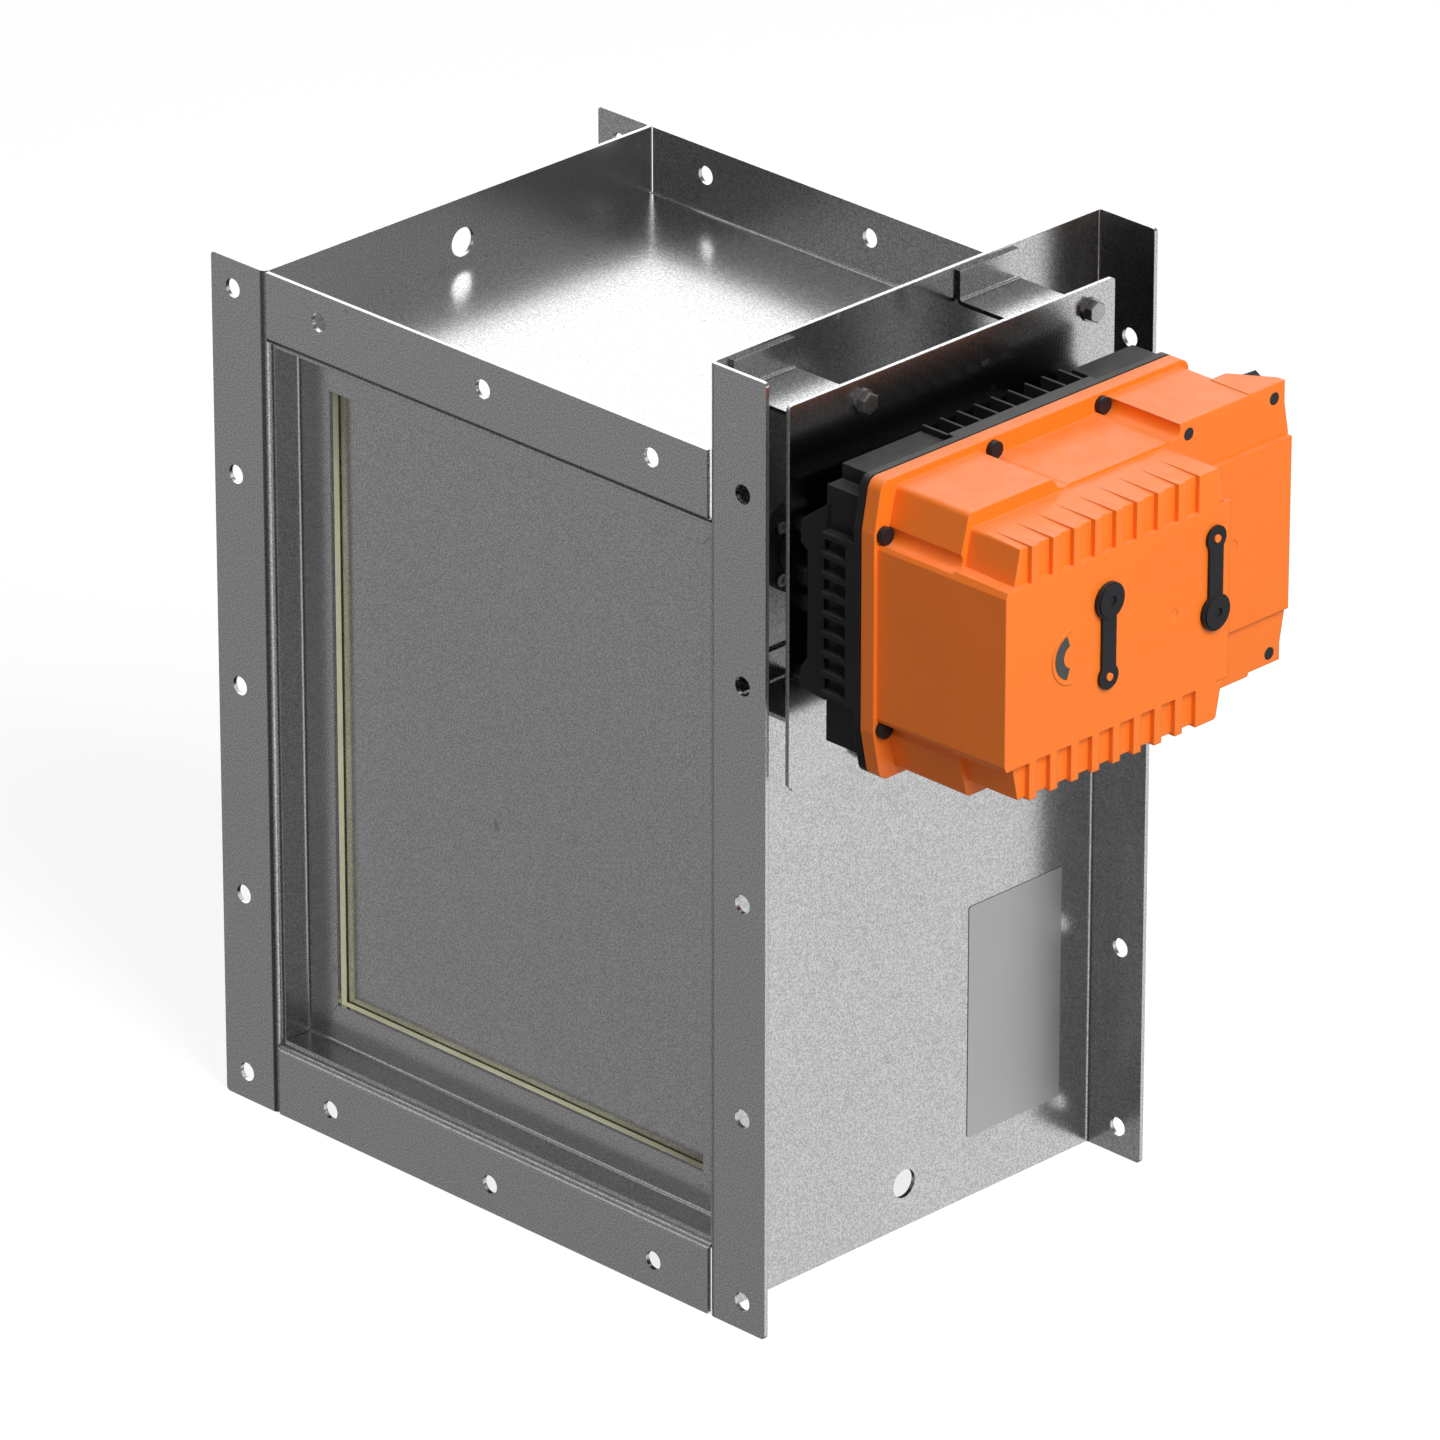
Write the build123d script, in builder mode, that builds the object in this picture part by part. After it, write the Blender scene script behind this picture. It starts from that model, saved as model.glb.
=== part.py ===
from build123d import *
from math import atan2, cos, degrees, pi, radians, sin, tan
import os

# Isolation damper with a rotary actuator, in millimetres.
# X runs across the duct towards the drive side, Y runs through the duct with the air, Z is up.
# The origin is the middle of the mouth, in the plane of the front flange.

os.makedirs("parts", exist_ok=True)

# Duct casing
DUCT_WIDTH = 400.0
DUCT_HEIGHT = 500.0
CASING_DEPTH = 350.0
FLANGE_HEIGHT = 50.0
SHEET = 3.0
FOLD = 3.5  # fold radius on the middle line of a sheet
FLANGE_TIP_RADIUS = 3.0
FLANGE_HOLE_RADIUS = 6.5
FLANGE_HOLE_INSET = 20.0  # from the flange edge
FLANGE_HOLE_PITCH = 150.0
SHIELD_HEIGHT = 60.0  # the drive-side panel stands this much taller
LIFTING_HOLE_RADIUS = 10.0
CORNER_GAP = 1.0  # between the flanges of two neighbouring panels

HALF_WIDTH = DUCT_WIDTH / 2
HALF_HEIGHT = DUCT_HEIGHT / 2
FLANGE_X = HALF_WIDTH + FLANGE_HEIGHT
FLANGE_Z = HALF_HEIGHT + FLANGE_HEIGHT
WALL_X = HALF_WIDTH + SHEET  # outer face of a side wall

# Shaft and flap
SHAFT_Y = 74.5
SHAFT_Z = 215.0
SHAFT_RADIUS = 10.0
SLIDING_FIT = 0.05  # radial clearance of everything that sits on a shaft
RUNNING_GAP = 0.4  # between bodies that move past each other
FLAP_FRONT = 35.0
FLAP_HALF_WIDTH = 178.0
FLAP_TOP = 223.0
FLAP_BOTTOM = -228.0
FLAP_FOLD_DEPTH = 20.0

# Actuator stand-off
PLATE_BACK = 257.0
PLATE_FRONT = PLATE_BACK + SHEET
HOUSING_BACK = 271.5  # rear face of the actuator base
RIM_BACK = 322.7  # where the cover sits on its gasket
RIM_FRONT = 333.6
STOREY_FRONT = 395.0
COVER_FRONT = 440.0
HOUSING_LEFT = 9.7
HOUSING_RIGHT = 294.5
HOUSING_MIDDLE = (HOUSING_LEFT + HOUSING_RIGHT) / 2
HOUSING_HALF_HEIGHT = 100.5


def across(x):
    """Sketch plane square to X; its points are (Y, height above the shaft)."""
    return Plane(origin=(x, 0, SHAFT_Z), x_dir=(0, 1, 0), z_dir=(1, 0, 0))


def along_duct(y):
    """Sketch plane square to Y; its points are (X, Z) and its normal points to the mouth."""
    return Plane.XZ.offset(-y)


def slab(x, y, z, mode=Mode.ADD):
    """Box given by its lowest and highest X, Y and Z."""
    with Locations(((x[0] + x[1]) / 2, (y[0] + y[1]) / 2, (z[0] + z[1]) / 2)):
        Box(x[1] - x[0], y[1] - y[0], z[1] - z[0], mode=mode)


def folded(plane, points, radius=FOLD, thickness=SHEET):
    """Sketch of a folded sheet seen end on."""
    with BuildSketch(plane) as strip:
        with BuildLine():
            FilletPolyline(*points, radius=radius)
        trace(line_width=thickness)
    return strip.sketch


def outline(plane, points):
    """Straight-sided closed sketch on a plane."""
    with BuildSketch(plane) as shape:
        with BuildLine():
            Polyline(*points, close=True)
        make_face()
    return shape.sketch


def rounded(plane, corners):
    """Closed sketch from corners given as (x, y, radius); a radius of 0 leaves a corner sharp."""
    with BuildSketch(plane) as shape:
        with BuildLine():
            Polyline(*[(x, y) for x, y, radius in corners], close=True)
        make_face()
        for x, y, radius in corners:
            if radius:
                fillet(shape.vertices().sort_by_distance((x, y))[0], radius)
    return shape.sketch


def span(x, y_from, y_to, low, high):
    """Rectangle on a plane square to X, from its Y limits and its heights above the shaft."""
    return outline(across(x), [(y_from, low), (y_to, low), (y_to, high), (y_from, high)])


def discs(plane, centres, radius):
    """Equal circles at the given places of a plane."""
    with BuildSketch(plane) as shape:
        with Locations(*centres):
            Circle(radius)
    return shape.sketch


def hexagons(plane, centres, across_flats, turn=0.0):
    """Equal hexagons at the given places of a plane."""
    with BuildSketch(plane) as shape:
        with Locations(*centres):
            RegularPolygon(across_flats / 2, 6, major_radius=False, rotation=turn)
    return shape.sketch


def upside_down(corners):
    """The same rounded corners on the other side of the shaft's level."""
    return [(y, -height, radius) for y, height, radius in corners]


def other_end(points):
    """The same points at the other end of the actuator."""
    return [(2 * HOUSING_MIDDLE - y, height) for y, height in points]


def save(name, builder):
    """Label a finished piece and write it."""
    builder.part.label = name
    export_step(builder.part, "parts/" + name + ".step")


# Casing panels

HOLE_X = FLANGE_X - FLANGE_HOLE_INSET
HOLE_Z = FLANGE_Z - FLANGE_HOLE_INSET
HOLE_PITCH_X = [-FLANGE_HOLE_PITCH, 0.0, FLANGE_HOLE_PITCH]
HOLE_PITCH_Z = [-HOLE_Z, -FLANGE_HOLE_PITCH, 0.0, FLANGE_HOLE_PITCH, HOLE_Z]
LIFTING_HOLES = [(CASING_DEPTH / 2, height - SHAFT_Z) for height in (-269.0, 269.0)]

BOSS_SPIGOT_RADIUS = 17.0
BEARING_SCREW_CIRCLE = 25.0
BEARING_SCREW_ANGLES = [45.0, 135.0, 225.0, 315.0]
BEARING_SCREW_RADIUS = 2.5
BEARING_SCREW_PLACES = [
    (SHAFT_Y + BEARING_SCREW_CIRCLE * cos(radians(a)), BEARING_SCREW_CIRCLE * sin(radians(a)))
    for a in BEARING_SCREW_ANGLES
]


def side_panel(side, top):
    """Side wall with its front and rear flange, folded from one sheet."""
    middle = side * (HALF_WIDTH + SHEET / 2)
    section = [
        (side * FLANGE_X, SHEET / 2),
        (middle, SHEET / 2),
        (middle, CASING_DEPTH - SHEET / 2),
        (side * FLANGE_X, CASING_DEPTH - SHEET / 2),
    ]
    with BuildPart() as panel:
        extrude(folded(Plane.XY.offset(-FLANGE_Z), section), amount=top + FLANGE_Z)
        tips = panel.edges().filter_by(Axis.Y).filter_by(lambda e: abs(e.center().X) > FLANGE_X - 1)
        fillet(tips, FLANGE_TIP_RADIUS)
        flange_holes = discs(Plane.XZ, [(side * HOLE_X, z) for z in HOLE_PITCH_Z], FLANGE_HOLE_RADIUS)
        extrude(flange_holes, amount=-CASING_DEPTH, mode=Mode.SUBTRACT)
        reach = side * (WALL_X + SHEET)
        extrude(discs(across(0), LIFTING_HOLES, LIFTING_HOLE_RADIUS), amount=reach, mode=Mode.SUBTRACT)
        shaft_hole = discs(across(0), [(SHAFT_Y, 0)], BOSS_SPIGOT_RADIUS + SLIDING_FIT)
        extrude(shaft_hole, amount=reach, mode=Mode.SUBTRACT)
        screw_holes = discs(across(0), BEARING_SCREW_PLACES, BEARING_SCREW_RADIUS + SLIDING_FIT)
        extrude(screw_holes, amount=reach, mode=Mode.SUBTRACT)
    return panel


def level_panel(side):
    """Top or bottom wall with its flanges; the web butts against both side walls."""
    middle = side * (HALF_HEIGHT + SHEET / 2)
    section = [
        (SHEET / 2, side * FLANGE_Z),
        (SHEET / 2, middle),
        (CASING_DEPTH - SHEET / 2, middle),
        (CASING_DEPTH - SHEET / 2, side * FLANGE_Z),
    ]
    with BuildPart() as panel:
        extrude(folded(Plane.YZ, section), amount=HALF_WIDTH, both=True)
        above_web = sorted((side * (HALF_HEIGHT + SHEET), side * (FLANGE_Z + SHEET)))
        for end in (-1, 1):
            gap = sorted((end * (HALF_WIDTH - CORNER_GAP), end * WALL_X))
            slab(gap, (-SHEET, CASING_DEPTH + SHEET), above_web, mode=Mode.SUBTRACT)
        holes = discs(Plane.XZ, [(x, side * HOLE_Z) for x in HOLE_PITCH_X], FLANGE_HOLE_RADIUS)
        extrude(holes, amount=-CASING_DEPTH, mode=Mode.SUBTRACT)
    return panel


side_panel_left = side_panel(-1, FLANGE_Z)
side_panel_right = side_panel(1, FLANGE_Z + SHIELD_HEIGHT)
save("side_panel_left", side_panel_left)
save("side_panel_right", side_panel_right)
save("top_panel", level_panel(1))
save("bottom_panel", level_panel(-1))

# Stop frame in the mouth: four angle rails, mitred at the corners

RAIL_FRONT = 5.0
RING_BACK = 29.0
RING_WIDTH = 31.0
MITRE_GAP = 0.15


def towards(direction):
    """Plane across a rail: its own x points out to the wall, its own y along the duct."""
    outward = Vector(*direction)
    return Plane(origin=(0, 0, 0), x_dir=outward, z_dir=outward.cross(Vector(0, 1, 0)))


def stop_rail(direction, own_half, other_half):
    """Angle rail: a sleeve along the wall and a ring plate that stops the flap's seal."""
    section = [
        (own_half - SHEET / 2, RAIL_FRONT),
        (own_half - SHEET / 2, RING_BACK - SHEET / 2),
        (own_half - RING_WIDTH, RING_BACK - SHEET / 2),
    ]
    inner = own_half - RING_WIDTH
    half_outer = other_half - MITRE_GAP
    half_inner = other_half - RING_WIDTH - MITRE_GAP
    mitred = [(own_half, -half_outer), (own_half, half_outer), (inner, half_inner), (inner, -half_inner)]
    with BuildPart() as rail:
        extrude(folded(towards(direction), section), amount=other_half, both=True)
        seen_from_front = Plane(origin=(0, 0, 0), x_dir=direction, z_dir=(0, 1, 0))
        extrude(outline(seen_from_front, mitred), amount=RING_BACK + SHEET, mode=Mode.INTERSECT)
    return rail


save("stop_rail_left", stop_rail((-1, 0, 0), HALF_WIDTH, HALF_HEIGHT))
save("stop_rail_right", stop_rail((1, 0, 0), HALF_WIDTH, HALF_HEIGHT))
save("stop_rail_top", stop_rail((0, 0, 1), HALF_HEIGHT, HALF_WIDTH))
save("stop_rail_bottom", stop_rail((0, 0, -1), HALF_HEIGHT, HALF_WIDTH))

# Soft seal behind the stop frame

GASKET_WIDTH = 10.0
GASKET_BACK = FLAP_FRONT - RUNNING_GAP
GASKET_TOP_BACK = 33.7  # the flap's top edge moves forward a little as it opens
GASKET_TOP_WIDTH = 8.0
GASKET_ROUND = 1.5
RING_INNER_X = HALF_WIDTH - RING_WIDTH
RING_INNER_Z = HALF_HEIGHT - RING_WIDTH
SIDE_GASKET_TOP = SHAFT_Z + 2.0


def seal_strip(x, back, z):
    """Foam strip with two rounded long edges."""
    with BuildPart() as strip:
        slab(x, (RING_BACK, back), z)
        along = Axis.Z if z[1] - z[0] > x[1] - x[0] else Axis.X
        fillet(strip.edges().filter_by(along).group_by(Axis.Y)[-1], GASKET_ROUND)
    return strip


side_gasket_z = (-RING_INNER_Z - GASKET_WIDTH, SIDE_GASKET_TOP)
bottom_gasket_x = (-RING_INNER_X + SLIDING_FIT, RING_INNER_X - SLIDING_FIT)
top_gasket_x = (-RING_INNER_X - GASKET_WIDTH, RING_INNER_X + GASKET_WIDTH)
for name, side in (("seat_gasket_left", -1), ("seat_gasket_right", 1)):
    strip_x = sorted((side * RING_INNER_X, side * (RING_INNER_X + GASKET_WIDTH)))
    save(name, seal_strip(strip_x, GASKET_BACK, side_gasket_z))
save("seat_gasket_bottom", seal_strip(
    bottom_gasket_x, GASKET_BACK, (-RING_INNER_Z - GASKET_WIDTH, -RING_INNER_Z)))
save("seat_gasket_top", seal_strip(
    top_gasket_x, GASKET_TOP_BACK, (RING_INNER_Z, RING_INNER_Z + GASKET_TOP_WIDTH)))

# Shaft bearings on both side walls

BEARING_FLANGE_RADIUS = 31.0
BEARING_BOSS_RADIUS = 20.0
BEARING_BOSS_END = 209.0
BUSH_RADIUS = 13.0
BUSH_COLLAR_RADIUS = 15.0
BUSH_COLLAR = 1.5
BUSH_INNER_END = 1.0  # the bush stands this far into the duct
BEARING_SCREW_HEAD_RADIUS = 4.25
BEARING_SCREW_HEAD = 2.8
SCREW_SOCKET = 4.0


def ring(x_from, x_to, outer, inner):
    """Tube about the shaft axis, added to the part being built."""
    with BuildSketch(across(x_from)) as washer:
        with Locations((SHAFT_Y, 0)):
            Circle(outer)
            Circle(inner, mode=Mode.SUBTRACT)
    extrude(washer.sketch, amount=x_to - x_from)


def bearing_housing(side):
    """Flanged boss: a spigot in the wall, a flange on it and a short round boss."""
    bore = BUSH_RADIUS
    with BuildPart() as housing:
        ring(side * HALF_WIDTH, side * WALL_X, BOSS_SPIGOT_RADIUS, bore)
        ring(side * WALL_X, side * (WALL_X + SHEET), BEARING_FLANGE_RADIUS, bore)
        ring(side * (WALL_X + SHEET), side * BEARING_BOSS_END, BEARING_BOSS_RADIUS, bore)
        holes = discs(across(0), BEARING_SCREW_PLACES, BEARING_SCREW_RADIUS + SLIDING_FIT)
        extrude(holes, amount=side * BEARING_BOSS_END, mode=Mode.SUBTRACT)
    return housing


def bearing_bush(side):
    """Plain bush with a collar against the end of the boss."""
    with BuildPart() as bush:
        bore = SHAFT_RADIUS + SLIDING_FIT
        ring(side * (HALF_WIDTH - BUSH_INNER_END), side * BEARING_BOSS_END, BUSH_RADIUS, bore)
        collar_end = BEARING_BOSS_END + BUSH_COLLAR
        ring(side * BEARING_BOSS_END, side * collar_end, BUSH_COLLAR_RADIUS, bore)
    return bush


def bearing_screws(side):
    """Four socket screws holding one bearing flange."""
    seat = side * (WALL_X + SHEET)
    with BuildPart() as screws:
        extrude(discs(across(seat), BEARING_SCREW_PLACES, BEARING_SCREW_HEAD_RADIUS),
                amount=side * BEARING_SCREW_HEAD)
        extrude(discs(across(side * HALF_WIDTH), BEARING_SCREW_PLACES, BEARING_SCREW_RADIUS),
                amount=seat - side * HALF_WIDTH)
        head_face = across(seat + side * BEARING_SCREW_HEAD)
        extrude(hexagons(head_face, BEARING_SCREW_PLACES, SCREW_SOCKET),
                amount=-side * BEARING_SCREW_HEAD / 2, mode=Mode.SUBTRACT)
    return screws


for name, side in (("left", -1), ("right", 1)):
    save("bearing_housing_" + name, bearing_housing(side))
    save("bearing_bush_" + name, bearing_bush(side))
    save("bearing_screws_" + name, bearing_screws(side))

# Drive shaft and the flap that hangs from it

SHAFT_LEFT_END = -212.0
SHAFT_BEVEL = 1.0
SHAFT_RIGHT_END = 325.0
INDICATOR_STEM_RADIUS = 5.0
INDICATOR_BACK = 434.0
INDICATOR_FRONT = 435.5
INDICATOR_BORE = 2.0
INDICATOR_MARGIN = 1.5
ARM_WIDTH = 8.0
ARM_X = 121.0
ARM_HUB_RADIUS = 18.0
ARM_FOOT_HALF_WIDTH = 22.0
ARM_FOOT = 6.0
ARM_FOOT_TOP = 196.0
ARM_FOOT_BOTTOM = 56.0
FLAP_SHEET_BACK = FLAP_FRONT + SHEET
ARM_FOOT_BACK = FLAP_SHEET_BACK + ARM_FOOT
STUD_RADIUS = 4.0
STUD_HEIGHT = 15.0
STUD_OFFSET = 14.0
STUD_LEVELS = [80.0, 165.0]
NUT_FLATS = 13.0
NUT_HEIGHT = 6.5
COLLAR_RADIUS = 17.0
COLLAR_WIDTH = 10.0
COLLAR_SCREW_RADIUS = 3.0
COLLAR_SCREW_DEPTH = 2.0

ARM_MIDDLE_X = ARM_X + ARM_WIDTH / 2
STUD_PLACES = [
    (side * ARM_MIDDLE_X + offset, level)
    for side in (-1, 1)
    for offset in (-STUD_OFFSET, STUD_OFFSET)
    for level in STUD_LEVELS
]

with BuildPart() as drive_shaft:
    extrude(discs(across(SHAFT_LEFT_END), [(SHAFT_Y, 0)], SHAFT_RADIUS),
            amount=SHAFT_RIGHT_END - SHAFT_LEFT_END)
    chamfer(drive_shaft.edges(), SHAFT_BEVEL)
save("drive_shaft", drive_shaft)

# The flap is a shallow tray, open to the rear, with studs welded on its back
with BuildPart() as blade_pan:
    flap_back = FLAP_FRONT + FLAP_FOLD_DEPTH
    slab((-FLAP_HALF_WIDTH, FLAP_HALF_WIDTH), (FLAP_FRONT, flap_back), (FLAP_BOTTOM, FLAP_TOP))
    fillet(blade_pan.edges().filter_by(Axis.Y), SHEET)
    fillet(blade_pan.faces().sort_by(Axis.Y)[0].edges(), SHEET - 0.5)
    slab((-FLAP_HALF_WIDTH + SHEET, FLAP_HALF_WIDTH - SHEET), (FLAP_SHEET_BACK, flap_back),
         (FLAP_BOTTOM + SHEET, FLAP_TOP - SHEET), mode=Mode.SUBTRACT)
    extrude(discs(Plane.XZ.offset(-FLAP_SHEET_BACK), STUD_PLACES, STUD_RADIUS), amount=-STUD_HEIGHT)
save("blade_pan", blade_pan)


def blade_arm(side):
    """Arm clamped on the shaft, with a bolting foot flat on the flap's back."""
    inner = side * ARM_X
    foot_top = ARM_FOOT_TOP - SHAFT_Z
    foot_bottom = ARM_FOOT_BOTTOM - SHAFT_Z
    hub_reach = ARM_HUB_RADIUS - 1
    web = [
        (FLAP_SHEET_BACK, foot_top),
        (SHAFT_Y - hub_reach, ARM_HUB_RADIUS / 5),
        (SHAFT_Y + hub_reach, -ARM_HUB_RADIUS / 3),
        (FLAP_SHEET_BACK + 2 * ARM_FOOT, foot_bottom + ARM_FOOT),
        (FLAP_SHEET_BACK, foot_bottom),
    ]
    foot_x = sorted((side * ARM_MIDDLE_X - ARM_FOOT_HALF_WIDTH, side * ARM_MIDDLE_X + ARM_FOOT_HALF_WIDTH))
    with BuildPart() as arm:
        extrude(outline(across(inner), web), amount=side * ARM_WIDTH)
        extrude(discs(across(inner), [(SHAFT_Y, 0)], ARM_HUB_RADIUS), amount=side * ARM_WIDTH)
        slab(foot_x, (FLAP_SHEET_BACK, ARM_FOOT_BACK), (ARM_FOOT_BOTTOM, ARM_FOOT_TOP))
        extrude(discs(across(inner), [(SHAFT_Y, 0)], SHAFT_RADIUS + SLIDING_FIT),
                amount=side * ARM_WIDTH, mode=Mode.SUBTRACT)
        stud_holes = discs(Plane.XZ.offset(-FLAP_SHEET_BACK), STUD_PLACES, STUD_RADIUS + SLIDING_FIT)
        extrude(stud_holes, amount=-STUD_HEIGHT, mode=Mode.SUBTRACT)
    return arm


save("blade_arm_left", blade_arm(-1))
save("blade_arm_right", blade_arm(1))

with BuildPart() as arm_nuts:
    extrude(hexagons(Plane.XZ.offset(-ARM_FOOT_BACK), STUD_PLACES, NUT_FLATS), amount=-NUT_HEIGHT)
    extrude(discs(Plane.XZ.offset(-ARM_FOOT_BACK), STUD_PLACES, STUD_RADIUS + SLIDING_FIT),
            amount=-NUT_HEIGHT, mode=Mode.SUBTRACT)
save("arm_nuts", arm_nuts)

STIFFENER_X = 60.0
STIFFENER_HALF_WIDTH = 28.0
STIFFENER_CROWN = 12.0
STIFFENER_SPREAD = 2.0
STIFFENER_HEIGHT = 14.0
STIFFENER_SHEET = 2.0
STIFFENER_FOLD = 2.5


def blade_stiffener(side):
    """Hat-section stiffener standing on the flap's back."""
    base = FLAP_SHEET_BACK + STIFFENER_SHEET / 2
    crown = base + STIFFENER_HEIGHT
    middle = side * STIFFENER_X
    section = [
        (middle - STIFFENER_HALF_WIDTH, base),
        (middle - STIFFENER_CROWN - STIFFENER_SPREAD, base),
        (middle - STIFFENER_CROWN, crown),
        (middle + STIFFENER_CROWN, crown),
        (middle + STIFFENER_CROWN + STIFFENER_SPREAD, base),
        (middle + STIFFENER_HALF_WIDTH, base),
    ]
    length = FLAP_TOP - FLAP_BOTTOM - 2 * FLAP_FOLD_DEPTH
    with BuildPart() as stiffener:
        bottom_plane = Plane.XY.offset(FLAP_BOTTOM + FLAP_FOLD_DEPTH)
        extrude(folded(bottom_plane, section, STIFFENER_FOLD, STIFFENER_SHEET), amount=length)
    return stiffener


save("blade_stiffener_left", blade_stiffener(-1))
save("blade_stiffener_right", blade_stiffener(1))

# Set collars keep the shaft from sliding sideways
with BuildPart() as shaft_collars:
    collar_face = HALF_WIDTH - BUSH_INNER_END - RUNNING_GAP
    collar_back = collar_face - COLLAR_WIDTH
    for side in (-1, 1):
        ring(side * collar_back, side * collar_face, COLLAR_RADIUS, SHAFT_RADIUS + SLIDING_FIT)
        screw_places = [(side * (collar_face + collar_back) / 2, SHAFT_Y)]
        screw_plane = Plane.XY.offset(SHAFT_Z + COLLAR_RADIUS)
        extrude(discs(screw_plane, screw_places, COLLAR_SCREW_RADIUS),
                amount=-COLLAR_SCREW_DEPTH, mode=Mode.SUBTRACT)
save("shaft_collars", shaft_collars)

# Actuator plate and the four brackets that hold it off the wall

PLATE_LEFT = 10.5
PLATE_RIGHT = 300.5
PLATE_BOTTOM = 85.7
PLATE_TOP = 344.5
PLATE_CORNER = 3.0
PLATE_HOLE_RADIUS = 22.0
BOLT_RADIUS = 4.0
BOLT_HOLE_RADIUS = 4.5
BOLT_HEAD = 5.3
WASHER_RADIUS = 8.0
WASHER = 1.6
CAP_NUT_HEIGHT = 15.0
CAP_NUT_HEX = 7.5
CAP_NUT_DOME_RADIUS = 6.25
BOLT_IN_DOME = 2.0  # the bolt reaches this far into the nut's dome
BOLT_TIP_ROOM = 1.0
HEAD_BEVEL = 0.6
UPPER_BOLT_Z = 328.8
LOWER_BOLT_Z = 94.0
FRONT_BOLT_Y = 74.8
REAR_BOLT_Y = 278.0
TAB_HEIGHT = 20.0
UPPER_SHELF = 337.0
LOWER_SHELF = 130.0
FRONT_SHELF_Y = (16.5, 69.5)
REAR_SHELF_Y = (216.5, 270.0)
FRONT_LEG_END = 88.0
REAR_LEG_END = 292.0
UPPER_LEG_BOTTOM = 312.0
LOWER_LEG_BOTTOM = 82.0
UPPER_LEG_SETBACK = 5.0  # the upper legs start this far behind their shelf's front edge
LEG_CORNER = 4.0

bolt_places = [
    (y, z - SHAFT_Z) for y in (FRONT_BOLT_Y, REAR_BOLT_Y) for z in (LOWER_BOLT_Z, UPPER_BOLT_Z)
]

FOOT_Y = 24.0
UPPER_FOOT_HEIGHT = 47.5
LOWER_FOOT_HEIGHT = -51.5
FOOT_SCREW_RADIUS = 2.5
FOOT_SCREW_HEAD_RADIUS = 5.0
FOOT_SCREW_HEAD = 3.0
FOOT_SPACER_RADIUS = 6.0
FOOT_BACK = 265.5  # the spacers stand between here and the plate
FOOT_SCREW_END = 282.0
near_feet = [(FOOT_Y, UPPER_FOOT_HEIGHT), (FOOT_Y, LOWER_FOOT_HEIGHT)]
FOOT_PLACES = near_feet + other_end(near_feet)


def bracket(shelf_y, leg_end, shelf_top, leg_bottom, bolt, leg_setback=0.0):
    """Sheet bracket: a tab up the wall, a shelf across the gap, a leg down the plate's inner face."""
    shelf = shelf_top - SHEET / 2
    section = [
        (WALL_X + SHEET / 2, shelf_top + TAB_HEIGHT),
        (WALL_X + SHEET / 2, shelf),
        (PLATE_BACK - SHEET / 2, shelf),
        (PLATE_BACK - SHEET / 2, leg_bottom),
    ]
    with BuildPart() as piece:
        extrude(folded(Plane.XZ.offset(-shelf_y[0]), section), amount=shelf_y[0] - shelf_y[1])
        leg_top = shelf_top - FOLD - SHEET / 2
        slab((PLATE_BACK - SHEET, PLATE_BACK), (shelf_y[1] - 1, leg_end), (leg_bottom, leg_top))
        if leg_setback:
            slab((PLATE_BACK - SHEET, PLATE_BACK), (shelf_y[0], shelf_y[0] + leg_setback),
                 (leg_bottom, leg_top), mode=Mode.SUBTRACT)
        corners = piece.edges().filter_by(Axis.X).filter_by(lambda e: e.center().X > PLATE_BACK - SHEET)
        fillet(corners.filter_by(lambda e: e.center().Y > leg_end - 1), LEG_CORNER)
        extrude(discs(across(PLATE_BACK), [bolt], BOLT_HOLE_RADIUS), amount=-2 * SHEET, mode=Mode.SUBTRACT)
    return piece


save("bracket_lower_front", bracket(
    FRONT_SHELF_Y, FRONT_LEG_END, LOWER_SHELF, LOWER_LEG_BOTTOM, bolt_places[0]))
save("bracket_upper_front", bracket(
    FRONT_SHELF_Y, FRONT_LEG_END, UPPER_SHELF, UPPER_LEG_BOTTOM, bolt_places[1], UPPER_LEG_SETBACK))
save("bracket_lower_rear", bracket(
    REAR_SHELF_Y, REAR_LEG_END, LOWER_SHELF, LOWER_LEG_BOTTOM, bolt_places[2]))
save("bracket_upper_rear", bracket(
    REAR_SHELF_Y, REAR_LEG_END, UPPER_SHELF, UPPER_LEG_BOTTOM, bolt_places[3], UPPER_LEG_SETBACK))

with BuildPart() as actuator_plate:
    slab((PLATE_BACK, PLATE_FRONT), (PLATE_LEFT, PLATE_RIGHT), (PLATE_BOTTOM, PLATE_TOP))
    fillet(actuator_plate.edges().filter_by(Axis.X), PLATE_CORNER)
    extrude(discs(across(PLATE_BACK), [(SHAFT_Y, 0)], PLATE_HOLE_RADIUS), amount=SHEET, mode=Mode.SUBTRACT)
    extrude(discs(across(PLATE_BACK), bolt_places, BOLT_HOLE_RADIUS), amount=SHEET, mode=Mode.SUBTRACT)
    extrude(discs(across(PLATE_BACK), FOOT_PLACES, FOOT_SCREW_RADIUS + SLIDING_FIT),
            amount=SHEET, mode=Mode.SUBTRACT)
save("actuator_plate", actuator_plate)

with BuildPart() as plate_washers:
    extrude(discs(across(PLATE_FRONT), bolt_places, WASHER_RADIUS), amount=WASHER)
    extrude(discs(across(PLATE_FRONT), bolt_places, BOLT_RADIUS + SLIDING_FIT),
            amount=WASHER, mode=Mode.SUBTRACT)
save("plate_washers", plate_washers)

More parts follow.
